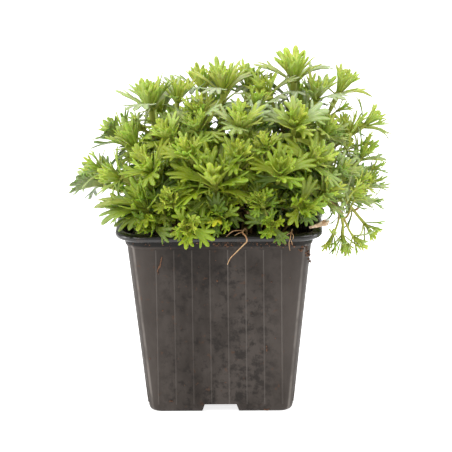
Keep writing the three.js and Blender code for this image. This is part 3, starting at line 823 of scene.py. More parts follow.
def rib_tree(material):
    """Adds fine ribs to the pot: a slanting line, repeated along one side and round the four."""
    inputs = {"Ribs": "Int", "Pitch": "Float", "Radius": "Float", "Foot": "Vector", "Head": "Vector"}
    tree, given = geometry_tree("Pot ribs", **inputs)
    line = wire(tree, "GeometryNodeCurvePrimitiveLine", {"Start": given["Foot"], "End": given["Head"]})
    width = given["Pitch"] * (given["Ribs"] - 1.0)
    row = wire(tree, "GeometryNodeMeshLine", {
        "Count": given["Ribs"],
        "Start Location": wire(tree, "ShaderNodeCombineXYZ", {"X": width * -0.5}),
        "Offset": wire(tree, "ShaderNodeCombineXYZ", {"X": given["Pitch"]}),
    })
    one_side = placed_on(row, tube_along(line, 8, given["Radius"]), {})
    sides = wire(tree, "GeometryNodeMeshLine", {"Count": 4, "Offset": (0.0, 0.0, 0.0)})
    quarter = wire(tree, "GeometryNodeInputIndex", {}) * math.radians(90)
    turn = wire(tree, "ShaderNodeCombineXYZ", {"Z": quarter})
    ribs = placed_on(sides, one_side, {"Rotation": turn})
    hand_out(dressed(joined(marked(ribs, "rib", 1.0), given["Geometry"]), material))
    return tree


def pot_profile():
    """Height, half width and corner of the pot's outside, from its foot to the lip of its rolled rim."""
    foot = [(0, 29.7, 4.5), (0.12, 30.3, 4.8), (0.6, 31.0, 5.4), (1.4, 31.45, 5.8), WALL_FOOT]
    wall = [wall_at(z) for z in (12, 24, 36, 48, 60, 70)]
    collar = [WALL_TOP, (76.2, 40.35, 10.3), (76.6, 40.7, 10.6), (78.0, 40.95, 10.8), (79.2, 41.3, 11.2)]
    rim = [
        (79.5, 42.2, 11.8), (79.75, 43.6, 12.6), (80.15, 44.4, 13.1), (80.75, 44.85, 13.5),
        (81.4, 45.0, 13.6), (82.05, 44.85, 13.5), (82.6, 44.4, 13.1),
        (82.92, 43.6, 12.4), (83.0, 42.9, 11.9), (82.85, 42.2, 11.4),
    ]
    return foot + wall + collar + rim


def hollow_profile():
    """Height, half width and corner of the pot's inside, from its floor to past its lip."""
    floor, half, _ = wall_at(FLOOR, WALL)
    wall = [(floor, half, 4.5), wall_at(40, WALL), wall_at(WALL_TOP[0] + 2, WALL)]
    return wall + [(81.6, 41.0, 10.5), (82.5, 41.6, 10.9), (83.4, 42.3, 11.2)]


def make_pot(look, material):
    steps = look.corner_steps
    pot = loft("ribbed_pot", [square_ring(*ring, steps) for ring in pot_profile()])
    outside = pot.data.copy()
    join_cut(pot, loft("inside", [square_ring(*ring, steps) for ring in hollow_profile()]), "DIFFERENCE")
    for roof in on_each_side(lambda: channel(NOTCH["roof"])):
        join_cut(pot, join_cut(roof, linked("outside", outside.copy()), "INTERSECT"), "UNION")
    for cut in list(on_each_side(lambda: channel(0))) + list(on_each_side(drain_hole)):
        join_cut(pot, cut, "DIFFERENCE")
    bpy.data.meshes.remove(outside)
    sunk = 0.2
    foot, head = wall_at(WALL_FOOT[0] + 1.2, sunk), wall_at(WALL_TOP[0] - 0.3, sunk)
    grow(pot, rib_tree(material), {
        "Ribs": look.ribs_a_side,
        "Pitch": look.rib_pitch,
        "Radius": look.rib_radius,
        "Foot": (0.0, -foot[1] * MM, foot[0] * MM),
        "Head": (0.0, -head[1] * MM, head[0] * MM),
    })
    pot.data.shade_smooth()
    pot.data.set_sharp_from_angle(angle=math.radians(35))
    return pot


# The compost
def crumb_object():
    """A small lump that stands in for one crumb until it is scattered."""
    lump = bmesh.new()
    bmesh.ops.create_icosphere(lump, subdivisions=1, radius=1.0)
    for vertex in lump.verts:
        vertex.co *= 1 + 0.35 * noise.noise(vertex.co * 1.7)
        vertex.co.z *= 0.75
    return lumps_object("crumb", lump)


def crumb_tree(crumb, material):
    """Strews crumbs over the upward faces of a body and keeps the body."""
    tree, given = geometry_tree("Compost crumbs", Density="Float", Size="Float", Seed="Int", Lowest="Float")
    slope = parts_of(wire(tree, "GeometryNodeInputNormal", {}))[2]
    height = parts_of(wire(tree, "GeometryNodeInputPosition", {}))[2]
    strewn = wire(tree, "GeometryNodeDistributePointsOnFaces", {
        "Mesh": given["Geometry"],
        "Selection": slope.calc("GREATER_THAN", 0.4) * height.calc("GREATER_THAN", given["Lowest"]),
        "Density": given["Density"],
        "Seed": given["Seed"],
    })
    any_turn = {"Min": (0.0, 0.0, 0.0), "Max": (6.28, 6.28, 6.28), "Seed": 3}
    turn = wire(tree, "FunctionNodeRandomValue", any_turn, data_type="FLOAT_VECTOR")
    bulk = wire(tree, "FunctionNodeRandomValue", {2: 0.35, 3: 1.6, "Seed": 5}, 1, data_type="FLOAT")
    lump = wire(tree, "GeometryNodeObjectInfo", {"Object": crumb}, "Geometry")
    crumbs = placed_on(strewn, lump, {"Rotation": turn, "Scale": bulk * given["Size"]})
    hand_out(dressed(joined(crumbs, given["Geometry"]), material))
    return tree


def rough_soil_height(x, y):
    spot = Vector((x, y, 3.0))
    return soil_height(x, y) + 0.9 * noise.noise(spot * 0.33) + 0.5 * noise.noise(spot * 0.8)


def make_soil(look, material):
    gap, corner_steps, rows = 0.3, 12, 26
    foot, foot_half, _ = wall_at(FLOOR + gap, WALL + gap)
    edge, half, corner = wall_at(SOIL["edge"], WALL + gap)
    rings = [(foot, foot_half, 4.2), (edge - 2, half, corner), (edge + 0.2, half, corner)]
    shares = [1 - i / rows for i in range(1, rows)]
    rings += [(rough_soil_height, half * share, corner * share) for share in shares]
    soil = loft("crumbly_compost", [square_ring(*ring, corner_steps) for ring in rings])
    for cut in on_each_side(lambda: channel(NOTCH["roof"] + gap)):
        join_cut(soil, cut, "DIFFERENCE")
    crumb = crumb_object()
    strewn = {"Density": float(look.crumbs), "Size": look.crumb_size, "Seed": 4, "Lowest": 70 * MM}
    grow(soil, crumb_tree(crumb, material), strewn)
    take_away(crumb)
    return soil


def on_wall(x, z, proud):
    """A point just outside the front of the pot, also round its corners."""
    profile = pot_profile()
    for (z0, half0, corner0), (z1, half1, corner1) in zip(profile, profile[1:]):
        if z0 <= z <= z1:
            share = (z - z0) / (z1 - z0)
            half, corner = blend(half0, half1, share) + proud, blend(corner0, corner1, share)
            break
    past = max(0.0, min(abs(x) - (half - corner), corner))
    return Vector((x, -(half - corner) - math.sqrt(corner**2 - past**2), z))


def make_specks(look):
    """Crumbs and bark slivers that stick to the pot."""
    lumps = bmesh.new()
    draw = seeded(SPECK_SEED)

    def lump(place, size):
        made = bmesh.ops.create_icosphere(lumps, subdivisions=1, radius=1.0)["verts"]
        offset = Vector((draw(), draw(), draw())) * 20
        for vertex in made:
            wobble = 1 + 0.45 * noise.noise(vertex.co * 1.6 + offset)
            vertex.co = (place + Vector([c * s for c, s in zip(vertex.co * wobble, size)])) * MM

    for x0, x1, z0, z1, count in PEAT_SPECKS:
        for _ in range(count):
            radius = blend(0.16, 0.5, draw() ** 2)
            place = on_wall(blend(x0, x1, draw()), blend(z0, z1, draw()), radius * 0.3)
            lump(place, (radius * blend(0.8, 1.5, draw()), radius * 0.7, radius * blend(0.7, 1.3, draw())))
    for path in BARK_SLIVERS:
        for (x0, z0), (x1, z1) in zip(path, path[1:]):
            for step in range(SLIVER_STEPS):
                share = step / SLIVER_STEPS
                lump(on_wall(blend(x0, x1, share), blend(z0, z1, share), 0.15), SLIVER_SIZE)
    made = lumps_object("peat_specks", lumps)
    set_material(made, dry_material("peat_fleck", look.fleck, look.dark, 800))
    finish_piece(made, "compost")


# Leaves
# A leaf lies flat in shares of its length: x across, y along it from the stem, z through its thickness.
# Its deep sinuses part three lobes, and its shallow ones part the teeth of a lobe.
LEAF_KINDS = {
    "leaf_broad": {
        "shoulder": (0.165, 0.54),
        "teeth": [(0.0, 1.0), (0.24, 0.91), (0.39, 0.7)],
        "sinuses": [(0.08, 0.73), (0.2, 0.65)],
    },
    "leaf_narrow": {
        "shoulder": (0.15, 0.53),
        "teeth": [(0.0, 1.0), (0.28, 0.83)],
        "sinuses": [(0.088, 0.68)],
    },
    "leaf_small": {
        "shoulder": (0.13, 0.56),
        "teeth": [(0.0, 1.0), (0.255, 0.85)],
        "sinuses": [(0.082, 0.7)],
    },
}
BROAD, NARROW, SMALL = range(3)
# The tip and a side tooth of each kind of leaf that the solids have, as (along, across)
SOLID_TEETH = {BROAD: [(1.0, 0.038), (0.91, 0.24)], NARROW: [(1.0, 0.045), (0.83, 0.27)]}
DRY_LEAF = {
    "shoulder": (0.19, 0.6),
    "teeth": [(0.0, 1.0), (0.23, 0.86)],
    "sinuses": [(0.13, 0.87)],
}
LEAF_FOOT = 0.075
PALM_ROWS = 3
# Along each tooth from its base to its tip: how far along, and how wide it still is
TOOTH_ROWS = [(0.34, 0.97), (0.68, 0.85), (0.9, 0.52)]


def mirrored(pairs, whole=()):
    """Points of the right half and their mirror images, from left to right."""
    left = [(-p[0], *p[1:]) for p in reversed(pairs)]
    return left + list(whole) + list(pairs)


class LeafSkin:
    """The points and faces of a flat leaf, whose upper and lower skins meet at its edge."""

    def __init__(self):
        self.points, self.veins, self.undersides, self.faces = [], [], [], []

    def point(self, place, lift=0.0, vein=0.0):
        """Adds one point, or an upper and a lower one where the leaf has thickness there."""
        first = len(self.points)
        for z in (lift, -lift) if lift else (0.0,):
            self.points.append((place[0], place[1], z))
            self.veins.append(vein)
            self.undersides.append(1.0 if z < 0 else 0.0)
        return first, len(self.points) - 1

    def face(self, *corners):
        """Adds a face without the corners that fall together, if three or more are left."""
        kept = tuple(p for i, p in enumerate(corners) if p != corners[i - 1])
        if len(kept) > 2:
            self.faces.append(kept)

    def between(self, *corners):
        """Adds the upper and lower faces between points, given anticlockwise seen from above."""
        self.face(*(upper for upper, _ in corners))
        self.face(*(lower for _, lower in reversed(corners)))

    def made(self, name):
        made = mesh_object(name, [(x / MM, y / MM, z / MM) for x, y, z in self.points], self.faces)
        store(made.data, "flat", "FLOAT_VECTOR", self.points)
        store(made.data, "vein", "FLOAT", self.veins)
        store(made.data, "under", "FLOAT", self.undersides)
        return made


def palm_line(skin, j, last, top):
    """One line up the palm of a leaf. Every second one is a vein, and the first and last are its edge."""
    start = Vector(((2 * j / last - 1) * LEAF_FOOT, 0))
    pull = Vector((start.x * 1.2, 0.56 * top.y))
    is_vein = j % 2
    line = []
    for row in range(PALM_ROWS + 1):
        t = row / PALM_ROWS
        place = start * (1 - t) ** 2 + pull * 2 * t * (1 - t) + top * t * t
        at_edge = j in (0, last) or (row == PALM_ROWS and not is_vein)
        line.append(skin.point(place, 0.0 if at_edge else 0.5, float(is_vein)))
    return line


def add_lobe(skin, base, tip, edges, ends):
    """A lobe or tooth from the palm to its tip, which starts at the ends of three of the palm's lines."""
    length = (tip - base).length
    axis = (tip - base) / length
    across = Vector((axis.y, -axis.x))

    def edge_at(edge, share, width):
        inside = edge - base
        return base + axis * blend(inside.dot(axis), length, share) + across * inside.dot(across) * width

    left, middle, right = ends
    for share, width in TOOTH_ROWS:
        new_left = skin.point(edge_at(edges[0], share, width))
        new_middle = skin.point(base.lerp(tip, share), 0.5 * (1 - 0.4 * share), 1.0)
        new_right = skin.point(edge_at(edges[1], share, width))
        skin.between(left, middle, new_middle, new_left)
        skin.between(middle, right, new_right, new_middle)
        left, middle, right = new_left, new_middle, new_right
    end = skin.point(tip, 0.0, 1.0)
    skin.between(left, middle, end)
    skin.between(middle, right, end)


def leaf_object(name, plan):
    """A closed lobed leaf: strips that fan from its foot, each with a vein, and that part into lobes."""
    tips = [Vector(tip) for tip in mirrored(plan["teeth"][1:], plan["teeth"][:1])]
    edges = [Vector(edge) for edge in mirrored(plan["sinuses"] + [plan["shoulder"]])]
    tops = []
    for left, right, tip in zip(edges, edges[1:], tips):
        tops += [left, ((left + right) / 2).lerp(tip, 0.08)]
    tops.append(edges[-1])
    skin = LeafSkin()
    lines = [palm_line(skin, j, len(tops) - 1, top) for j, top in enumerate(tops)]
    for left, right in zip(lines, lines[1:]):
        for row in range(PALM_ROWS):
            skin.between(left[row], right[row], right[row + 1], left[row + 1])
    for left, right in zip(lines, lines[1:]):
        skin.face(*left[0], *reversed(right[0]))
    for i, tip in enumerate(tips):
        ends = [line[-1] for line in lines[2 * i:2 * i + 3]]
        add_lobe(skin, tops[2 * i + 1], tip, edges[i:i + 2], ends)
    return skin.made(name)


# What the seat of each leaf holds: numbers that bend it, numbers for its material, and its directions
BEND_NUMBERS = ("length", "rise", "arch", "cup", "spread", "wave")
LOOK_NUMBERS = ("age", "tint", "shade", "yellow", "dry")
SEAT_VECTORS = ("axis", "out", "side")


def shoot_tree(kinds, leaf_look, stem_look):
    """Grows one shoot: tubes along its stem lines, and a bent leaf on each of its seats."""
    tree, given = geometry_tree("Leafy shoot", Sides="Int", Thickness="Float")
    line = wire(tree, "GeometryNodeMeshToCurve", {"Mesh": given["Geometry"]})
    stems = dressed(tube_along(line, given["Sides"], 1.0, attribute_of(tree, "stem_radius")), stem_look)
    kind = attribute_of(tree, "kind")
    leaves = []
    for number, template in enumerate(kinds):
        chosen = kind.calc("COMPARE", float(number), 0.1)
        seats = wire(tree, "GeometryNodeMeshToPoints", {"Mesh": given["Geometry"], "Selection": chosen})
        shape = wire(tree, "GeometryNodeObjectInfo", {"Object": template}, "Geometry")
        leaves.append(placed_on(seats, shape, {}))

    across, along, through = parts_of(attribute_of(tree, "flat", "FLOAT_VECTOR"))
    length, rise, arch, cup, spread, wave = [attribute_of(tree, name) for name in BEND_NUMBERS]
    seat, axis, out, side = [attribute_of(tree, name, "FLOAT_VECTOR") for name in ("seat", *SEAT_VECTORS)]
    angle = rise + arch * along
    sine, cosine = angle.calc("SINE"), angle.calc("COSINE")
    per_arch = length / arch
    risen = per_arch * (sine - rise.calc("SINE"))
    away = per_arch * (rise.calc("COSINE") - cosine)
    curl = cup * (across * across)
    ripple = (across * 11.0 + wave).calc("SINE") * 0.03 * (along * along)
    lift = length * (through * given["Thickness"] + (curl + ripple))
    wide = across * spread * length
    bend = axis * (risen + lift * sine) + out * (away - lift * cosine) - side * wide
    bent = wire(tree, "GeometryNodeSetPosition", {"Geometry": joined(*leaves), "Position": seat + bend})
    hand_out(joined(dressed(marked(bent, "along", along), leaf_look), stems))
    return tree


# Where leaves and stems are
def turn_about(vector, axis, angle):
    """A direction turned about an axis."""
    return Matrix.Rotation(angle, 3, axis) @ vector


def lean_of(tip, wanted):
    if wanted:
        return Vector(wanted[0]).normalized()
    outwards = Vector([(tip[i] - CUSHION_MIDDLE[i]) / CUSHION_SIZE[i] for i in range(3)]).normalized()
    return (outwards + UP * 0.35).normalized()


def back_shoots():
    draw = seeded(BACK_SEED)
    shoots = {}
    for row, (height, first, last, count, leaf) in enumerate(BACK_ROWS):
        out = math.sqrt(1 - height * height)
        for i in range(count):
            angle = math.radians(blend(first, last, i / (count - 1)))
            around = Vector((out * math.cos(angle), out * math.sin(angle), height))
            drift = Vector([BACK_DRIFT * (draw() - 0.5) for _ in range(3)])
            tip = CUSHION_MIDDLE + around * CUSHION_SIZE + drift
            shoots[f"back_{row + 1}_{i + 1}"] = [(*tip, leaf)]
    return shoots


def node_points(name):
    """A solid's corners in millimetres."""
    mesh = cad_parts[name].data
    points = np.empty(len(mesh.vertices) * 3, np.float32)
    mesh.vertices.foreach_get("co", points)
    return points.reshape(-1, 3) / MM


def nearest(points, place):
    """How far a place is from the nearest of some points."""
    return np.linalg.norm(points - np.array(place), axis=1).min()


def root_at(x, y):
    return Vector((x, y, soil_height(x, y) - STEM["root"]))


def root_of(name, plan):
    """The middle of a stem's lowest ring: the first place open to it where its solid has that ring."""
    if "start" in plan:
        return root_at(*plan["start"])
    points = node_points(name)
    tip = Vector(plan["tips"][0][:3])
    for turn in (0, 8, -8, 16, -16, 24, -24):
        for share in (0.5, 0.4, 0.6, 0.3, 0.7):
            spot = turn_about(tip * share, "Z", math.radians(turn))
            root = root_at(*(max(-ROOT_LIMIT, min(ROOT_LIMIT, c)) for c in spot[:2]))
            if nearest(points, root + Vector((STEM["radius"], 0, 0))) < MATCH:
                return root
    raise RuntimeError(f"the solid of {name} has no stem where one may stand")


def stem_plan(curve, lean, longest, foot, root=None):
    return {"curve": curve, "lean": lean, "longest": longest, "foot": foot, "root": root}


def branch_from(stem, t, foot, lean):
    """A curve that leaves a stem along its own direction and arrives at a foot along the lean."""
    return bent_curve(stem["curve"].point(t), stem["curve"].tangent(t), foot, lean, 0.4)


def stems_of(name, plan):
    """The stems of one shoot, as its solid has them: the main one first, then those that branch from it."""
    root = root_of(name, plan)
    start = root + UP * (STEM["above_soil"] + STEM["root"])
    stems = []
    for x, y, z, longest, *wanted in plan["tips"]:
        tip = Vector((x, y, z))
        lean = lean_of(tip, wanted)
        foot = tip - lean * INTERNODE * LEVELS
        if stems:
            curve = branch_from(stems[0], 0.55, foot, lean)
        elif "pulls" in plan:
            curve = Bezier(start, *plan["pulls"], foot)
        else:
            curve = bent_curve(start, UP, foot, lean, 0.42)
        stems.append(stem_plan(curve, lean, longest, foot, None if stems else root))
    return stems


def crown_sides(stem):
    """The directions across and up a stem's end, carried along the stem without a twist."""
    points = [stem["curve"].point(t) for t in (0, 0.5, 1)]
    if stem["root"]:
        points.insert(0, stem["root"])
    ways = [(points[i + 1] - points[max(i - 1, 0)]).normalized() for i in range(len(points) - 1)]
    right = Vector((1, 0, 0))
    for along in [*ways, stem["lean"]]:
        right = (right - along * right.dot(along)).normalized()
    return right, stem["lean"].cross(right)


def bent_point(leaf, along, across):
    """Where a point of a flat leaf goes, as in the solids."""
    angle = leaf["rise"] + leaf["arch"] * along
    per_arch = leaf["length"] / leaf["arch"]
    risen = per_arch * (math.sin(angle) - math.sin(leaf["rise"]))
    away = per_arch * (math.cos(leaf["rise"]) - math.cos(angle))
    return leaf["seat"] + leaf["axis"] * risen + leaf["out"] * away + leaf["side"] * across * leaf["length"]


def leaf_plan(seat, axis, out, length, rise, arch, kind, age):
    """A leaf that leans from its axis towards out, and the angles in degrees that bend it as it does so."""
    return {
        "seat": seat, "axis": axis, "out": out, "side": axis.cross(out), "length": length,
        "rise": math.radians(rise), "arch": math.radians(arch), "kind": kind, "age": age,
    }


def turned(leaf, size, turn=0, rise=0):
    """A leaf of another size, turned round its stem and bent up or down by some degrees."""
    side = turn_about(leaf["side"], leaf["axis"], math.radians(turn))
    changes = {"length": leaf["length"] * size, "rise": leaf["rise"] + math.radians(rise)}
    return {**leaf, **changes, "side": side, "out": side.cross(leaf["axis"])}


def leaf_as_built(leaf, points):
    """The leaf bent the way that its solid was, or a short one where the solid left it out."""
    marks = SOLID_TEETH[leaf["kind"]]
    for size in (1, 0.86, 0.72):
        for turn in (0, 16, -16, 32, -32):
            for rise in (0, 12, -12, 24):
                bent = turned(leaf, size, turn, rise)
                if max(nearest(points, bent_point(bent, *mark)) for mark in marks) < MATCH:
                    return bent
    return turned(leaf, 0.75)


def crown_leaves(stem, seed, points):
    """The six leaves that the solid has at the end of a stem."""
    draw = seeded(seed)
    sides = STEM["sides"]
    first = math.floor(sides * draw())
    right, up = crown_sides(stem)
    lean = stem["lean"]
    leaves = []
    for i in range(LEAVES):
        share = i / (LEAVES - 1)
        flat = (first + 2 * i) % sides
        angles = [FULL_TURN * k / sides for k in (flat, flat + 1)]
        a, b = [(right * math.cos(angle) + up * math.sin(angle)) * STEM["crown"] for angle in angles]
        seat = stem["foot"] + lean * INTERNODE * (i // (LEAVES // LEVELS) + 0.5) + (a + b) / 2
        length = stem["longest"] * blend(1.0, 0.66, share) * (0.94 + 0.12 * draw())
        rise = blend(44, 40, share) + 10 * (draw() - 0.5)
        kind = BROAD if i < BROAD_LEAVES else NARROW
        out = (b - a).normalized().cross(lean)
        arch = blend(52, -34, share)
        leaf = leaf_plan(seat, lean, out, length, rise, arch, kind, blend(0.62, 0.18, share))
        built = leaf_as_built(leaf, points)
        built["arch"] += math.radians(blend(16, 0, share))
        leaves.append(built)
    return leaves


def free_leaf(place, axis, turn, length, rise, arch, kind, age):
    """One more leaf at a place on a stem, turned round the stem by an angle."""
    out = turn_about(axis.orthogonal().normalized(), axis, turn)
    return leaf_plan(place + out * 0.6, axis, out, length, rise, arch, kind, age)


def arching_leaves(name, stem):
    """The long drooping leaves named for this shoot, just below its rosette."""
    found = []
    for i, (compass, length, rise, arch, *yellow) in enumerate(ARCHING_LEAVES.get(name, [])):
        out = turn_about(Vector((1, 0, 0)), "Z", math.radians(compass))
        level = i % 3
        seat = stem["curve"].point(0.97 - 0.02 * level) + out * 0.8
        kind = BROAD if length > 15 else NARROW
        leaf = leaf_plan(seat, UP, out, length, rise, arch, kind, 0.3 + 0.1 * level)
        found.append({**leaf, "yellow": sum(yellow)})
    return found


def added_leaves(stem, rosette, draw):
    """What a rosette has besides its solid's leaves: a tight heart, leaves between and a collar below."""
    lean, foot, longest, curve = stem["lean"], stem["foot"], stem["longest"], stem["curve"]
    leaves = []
    turn = FULL_TURN * draw()
    # Small upright leaves at the very tip
    for i in range(rosette["heart"]):
        turn += GOLDEN_ANGLE
        share = i / (rosette["heart"] - 1)
        leaves.append(free_leaf(
            foot + lean * (3.1 - 0.9 * share), lean, turn, longest * blend(0.3, 0.76, share),
            blend(2, 28, share), blend(12, -10, share), SMALL, blend(0.0, 0.12, share),
        ))
    # Half-grown ones round them
    for i in range(rosette["between"]):
        turn += GOLDEN_ANGLE
        leaves.append(free_leaf(
            foot + lean * (1.6 - 0.5 * i), lean, turn, longest * blend(0.66, 0.84, draw()),
            blend(22, 36, draw()), blend(2, 36, draw()), NARROW, 0.2 + 0.3 * draw(),
        ))
    # Broad ones that spread from the stem just below
    for i in range(rosette["collar"]):
        turn += GOLDEN_ANGLE
        t = 0.93 - 0.07 * i
        leaves.append(free_leaf(
            curve.point(t), curve.tangent(t), turn, longest * blend(0.68, 0.88, draw()),
            blend(48, 66, draw()), blend(45, 80, draw()), NARROW, 0.55 + 0.25 * draw(),
        ))
    return leaves


def stem_leaves(stem, growth, draw):
    """Older leaves up the stem from the compost to its rosette."""
    curve = stem["curve"]
    count = int(0.8 * curve.length() / growth["leaf_gap"])
    leaves = []
    turn = FULL_TURN * draw()
    for i in range(count):
        turn += GOLDEN_ANGLE
        t = blend(0.06, 0.82, (i + draw()) / count)
        leaf = free_leaf(
            curve.point(t), curve.tangent(t), turn, blend(*growth["stem_leaf"], draw()),
            blend(40, 62, draw()), blend(15, 60, draw()),
            SMALL if growth["small_leaved"] or draw() < 0.5 else NARROW, 0.75 + 0.25 * draw(),
        )
        leaf["dry"] = blend(0.6, 1.0, draw()) if t < 0.28 and draw() < 0.45 else 0.0
        leaves.append(leaf)
    return leaves


def side_stems(stem, growth, draw):
    """Short side shoots, each with a small rosette, that fill the cushion under the main ones."""
    curve = stem["curve"]
    found = []
    if curve.length() < 18 or stem["root"] is None:
        return found
    for t in growth["twigs"]:
        place = curve.point(t)
        if place.z > growth["highest_twig"]:
            continue
        level = Vector((place.x, place.y, 0)).normalized()
        outwards = turn_about(level, "Z", math.radians(blend(-75, 75, draw())))
        lean = (outwards * 0.8 + UP * blend(0.3, 0.9, draw())).normalized()
        foot = place + lean * blend(6, 11, draw()) + UP * 1.5
        twig = bent_curve(place, (curve.tangent(t) + lean).normalized(), foot, lean, 0.4)
        found.append(stem_plan(twig, lean, blend(*growth["twig_leaf"], draw()), foot))
    return found


def placed_side_stems(name, stem):
    """The side stems that end in the small rosettes named for this shoot."""
    found = []
    for x, y, z, longest, wanted in SMALL_ROSETTES.get(name, []):
        lean = Vector(wanted).normalized()
        foot = Vector((x, y, z)) - lean * 1.5
        found.append(stem_plan(branch_from(stem, 0.6, foot, lean), lean, longest, foot))
    return found


def small_rosette(stem, growth, draw):
    """The leaves of a side stem, from its upright heart to its lowest and most spreading."""
    lean, foot, longest, count = stem["lean"], stem["foot"], stem["longest"], growth["twig_leaves"]
    turn = FULL_TURN * draw()
    leaves = []
    for i in range(count):
        turn += GOLDEN_ANGLE
        share = i / (count - 1)
        leaves.append(free_leaf(
            foot + lean * (1.8 - 2.4 * share), lean, turn, longest * blend(0.45, 1.0, math.sqrt(share)),
            blend(5, 52, share) + 8 * (draw() - 0.5), blend(3, 45, share),
            SMALL if growth["small_leaved"] or share < 0.6 else NARROW, blend(0.12, 0.7, share),
        ))
    return leaves


def in_pot(leaf):
    """True where a leaf would pass through the rim, the wall or the compost."""
    for along in (0.3, 0.5, 0.7, 0.85, 1.0):
        for across in (-0.3, 0.0, 0.3) if along > 0.6 else (0.0,):
            place = bent_point(leaf, along, across)
            aside = max(abs(place.x), abs(place.y))
            half = RIM_WIDTH / 2 if place.z > WALL_TOP[0] else WALL_TOP[1]
            near_pot = place.z < POT_HEIGHT + RIM_GAP and aside < half + SIDE_GAP
            in_soil = place.z < soil_height(place.x, place.y) + SOIL_GAP
            if near_pot and (in_soil or aside > WALL_TOP[1] - 2):
                return True
    return False


def clear_of_pot(leaf):
    """The leaf as it is, or shorter and higher if it would pass through the pot, or nothing."""
    for size, rise in ((1.0, 0), (0.9, -8), (0.8, -16), (0.7, -24), (0.6, -30)):
        tried = turned(leaf, size, 0, rise)
        if not in_pot(tried):
            return tried
    return None


def stem_line(stem, thin):
    """Points up a stem and through its crown, each with its radius and its share of the way up."""
    shares = [i / STEM_STEPS for i in range(STEM_STEPS + 1)]
    line = [stem["curve"].point(share) for share in shares]
    radii = [thin * blend(0.95, 0.85, share) for share in shares]
    if stem["root"]:
        line.insert(0, stem["root"])
        radii.insert(0, 0.95 * thin)
        shares.insert(0, 0.0)
    else:
        radii = [0.7 * radius for radius in radii]
        shares = [0.35 + 0.65 * share for share in shares]
    crown = min(1.75, 0.09 * stem["longest"])
    line += [stem["foot"] + stem["lean"] * step for step in (1.2, 2.6, 3.8)]
    radii[-1] = 0.85 * crown
    radii[-2] = max(radii[-2], 0.55 * crown)
    return line, radii + [crown, 0.7 * crown, 0.25 * crown], shares + [1.0, 1.0, 1.0]


def shoot_object(name, stems, leaves, growth, draw):
    """What one shoot grows from: an edge chain for each stem, and a lone point, or seat, for each leaf."""
    thin = TRAILING_STEM if "trailing" in name else growth["stem"]
    points, edges, radii, heights = [], [], [], []
    for stem in stems:
        line, size, high = stem_line(stem, thin)
        edges += [(i, i + 1) for i in range(len(points), len(points) + len(line) - 1)]
        points += line
        radii += size
        heights += high
    on_stem, no_stem = len(points), [0.0] * len(leaves)
    points += [leaf["seat"] for leaf in leaves]
    made = mesh_object(name, points, edges=edges)
    mesh = made.data
    store(mesh, "stem_radius", "FLOAT", [r * MM for r in radii] + no_stem)
    store(mesh, "along_stem", "FLOAT", heights + no_stem)
    store(mesh, "kind", "FLOAT", [-1.0] * on_stem + [float(leaf["kind"]) for leaf in leaves])
    store(mesh, "seat", "FLOAT_VECTOR", [tuple(p * MM) for p in points])
    for label in SEAT_VECTORS:
        store(mesh, label, "FLOAT_VECTOR", [(0, 0, 0)] * on_stem + [tuple(leaf[label]) for leaf in leaves])
    drawn = {
        "cup": lambda leaf: blend(0.25, 0.75, draw()),
        "spread": lambda leaf: blend(*growth["spread"], draw()),
        "wave": lambda leaf: FULL_TURN * draw(),
        "tint": lambda leaf: draw(),
        "shade": lambda leaf: draw(),
        "yellow": lambda leaf: 0.6 * draw() if draw() < 0.06 and leaf["age"] > 0.9 else 0.0,
        "dry": lambda leaf: 0.0,
    }
    for label in BEND_NUMBERS + LOOK_NUMBERS:
        found = [leaf[label] if label in leaf else drawn[label](leaf) for leaf in leaves]
        scale = MM if label == "length" else 1.0
        store(mesh, label, "FLOAT", [0.0] * on_stem + [value * scale for value in found])
    return made


KEPT_ATTRIBUTES = {
    "position", "material_index", "sharp_face", "sharp_edge", "along", "vein", "under", "along_stem",
    *LOOK_NUMBERS,
}


def tidy_attributes(mesh):
    """Leaves a mesh only the attributes that its materials and Blender itself read."""
    for name in [attribute.name for attribute in mesh.attributes]:
        if name not in KEPT_ATTRIBUTES and not name.startswith("."):
            mesh.attributes.remove(mesh.attributes[name])


def all_plans():
    plans = dict(TRAILERS)
    for name, tips in {**SHOOTS, **back_shoots()}.items():
        plans[name] = {"tips": tips}
    return plans


def aged_and_shaded_by_height(leaf, younger):
    """A leaf's age where it stands: the lower it is in the cushion, the older and darker it looks, partly for
    its real age and partly as painted shade low down and painted light high up.
    """
    low, high = CUSHION_HEIGHTS
    return min(1, max(0, leaf["age"] - younger + blend(0.42, -0.32, (leaf["seat"].z - low) / (high - low))))


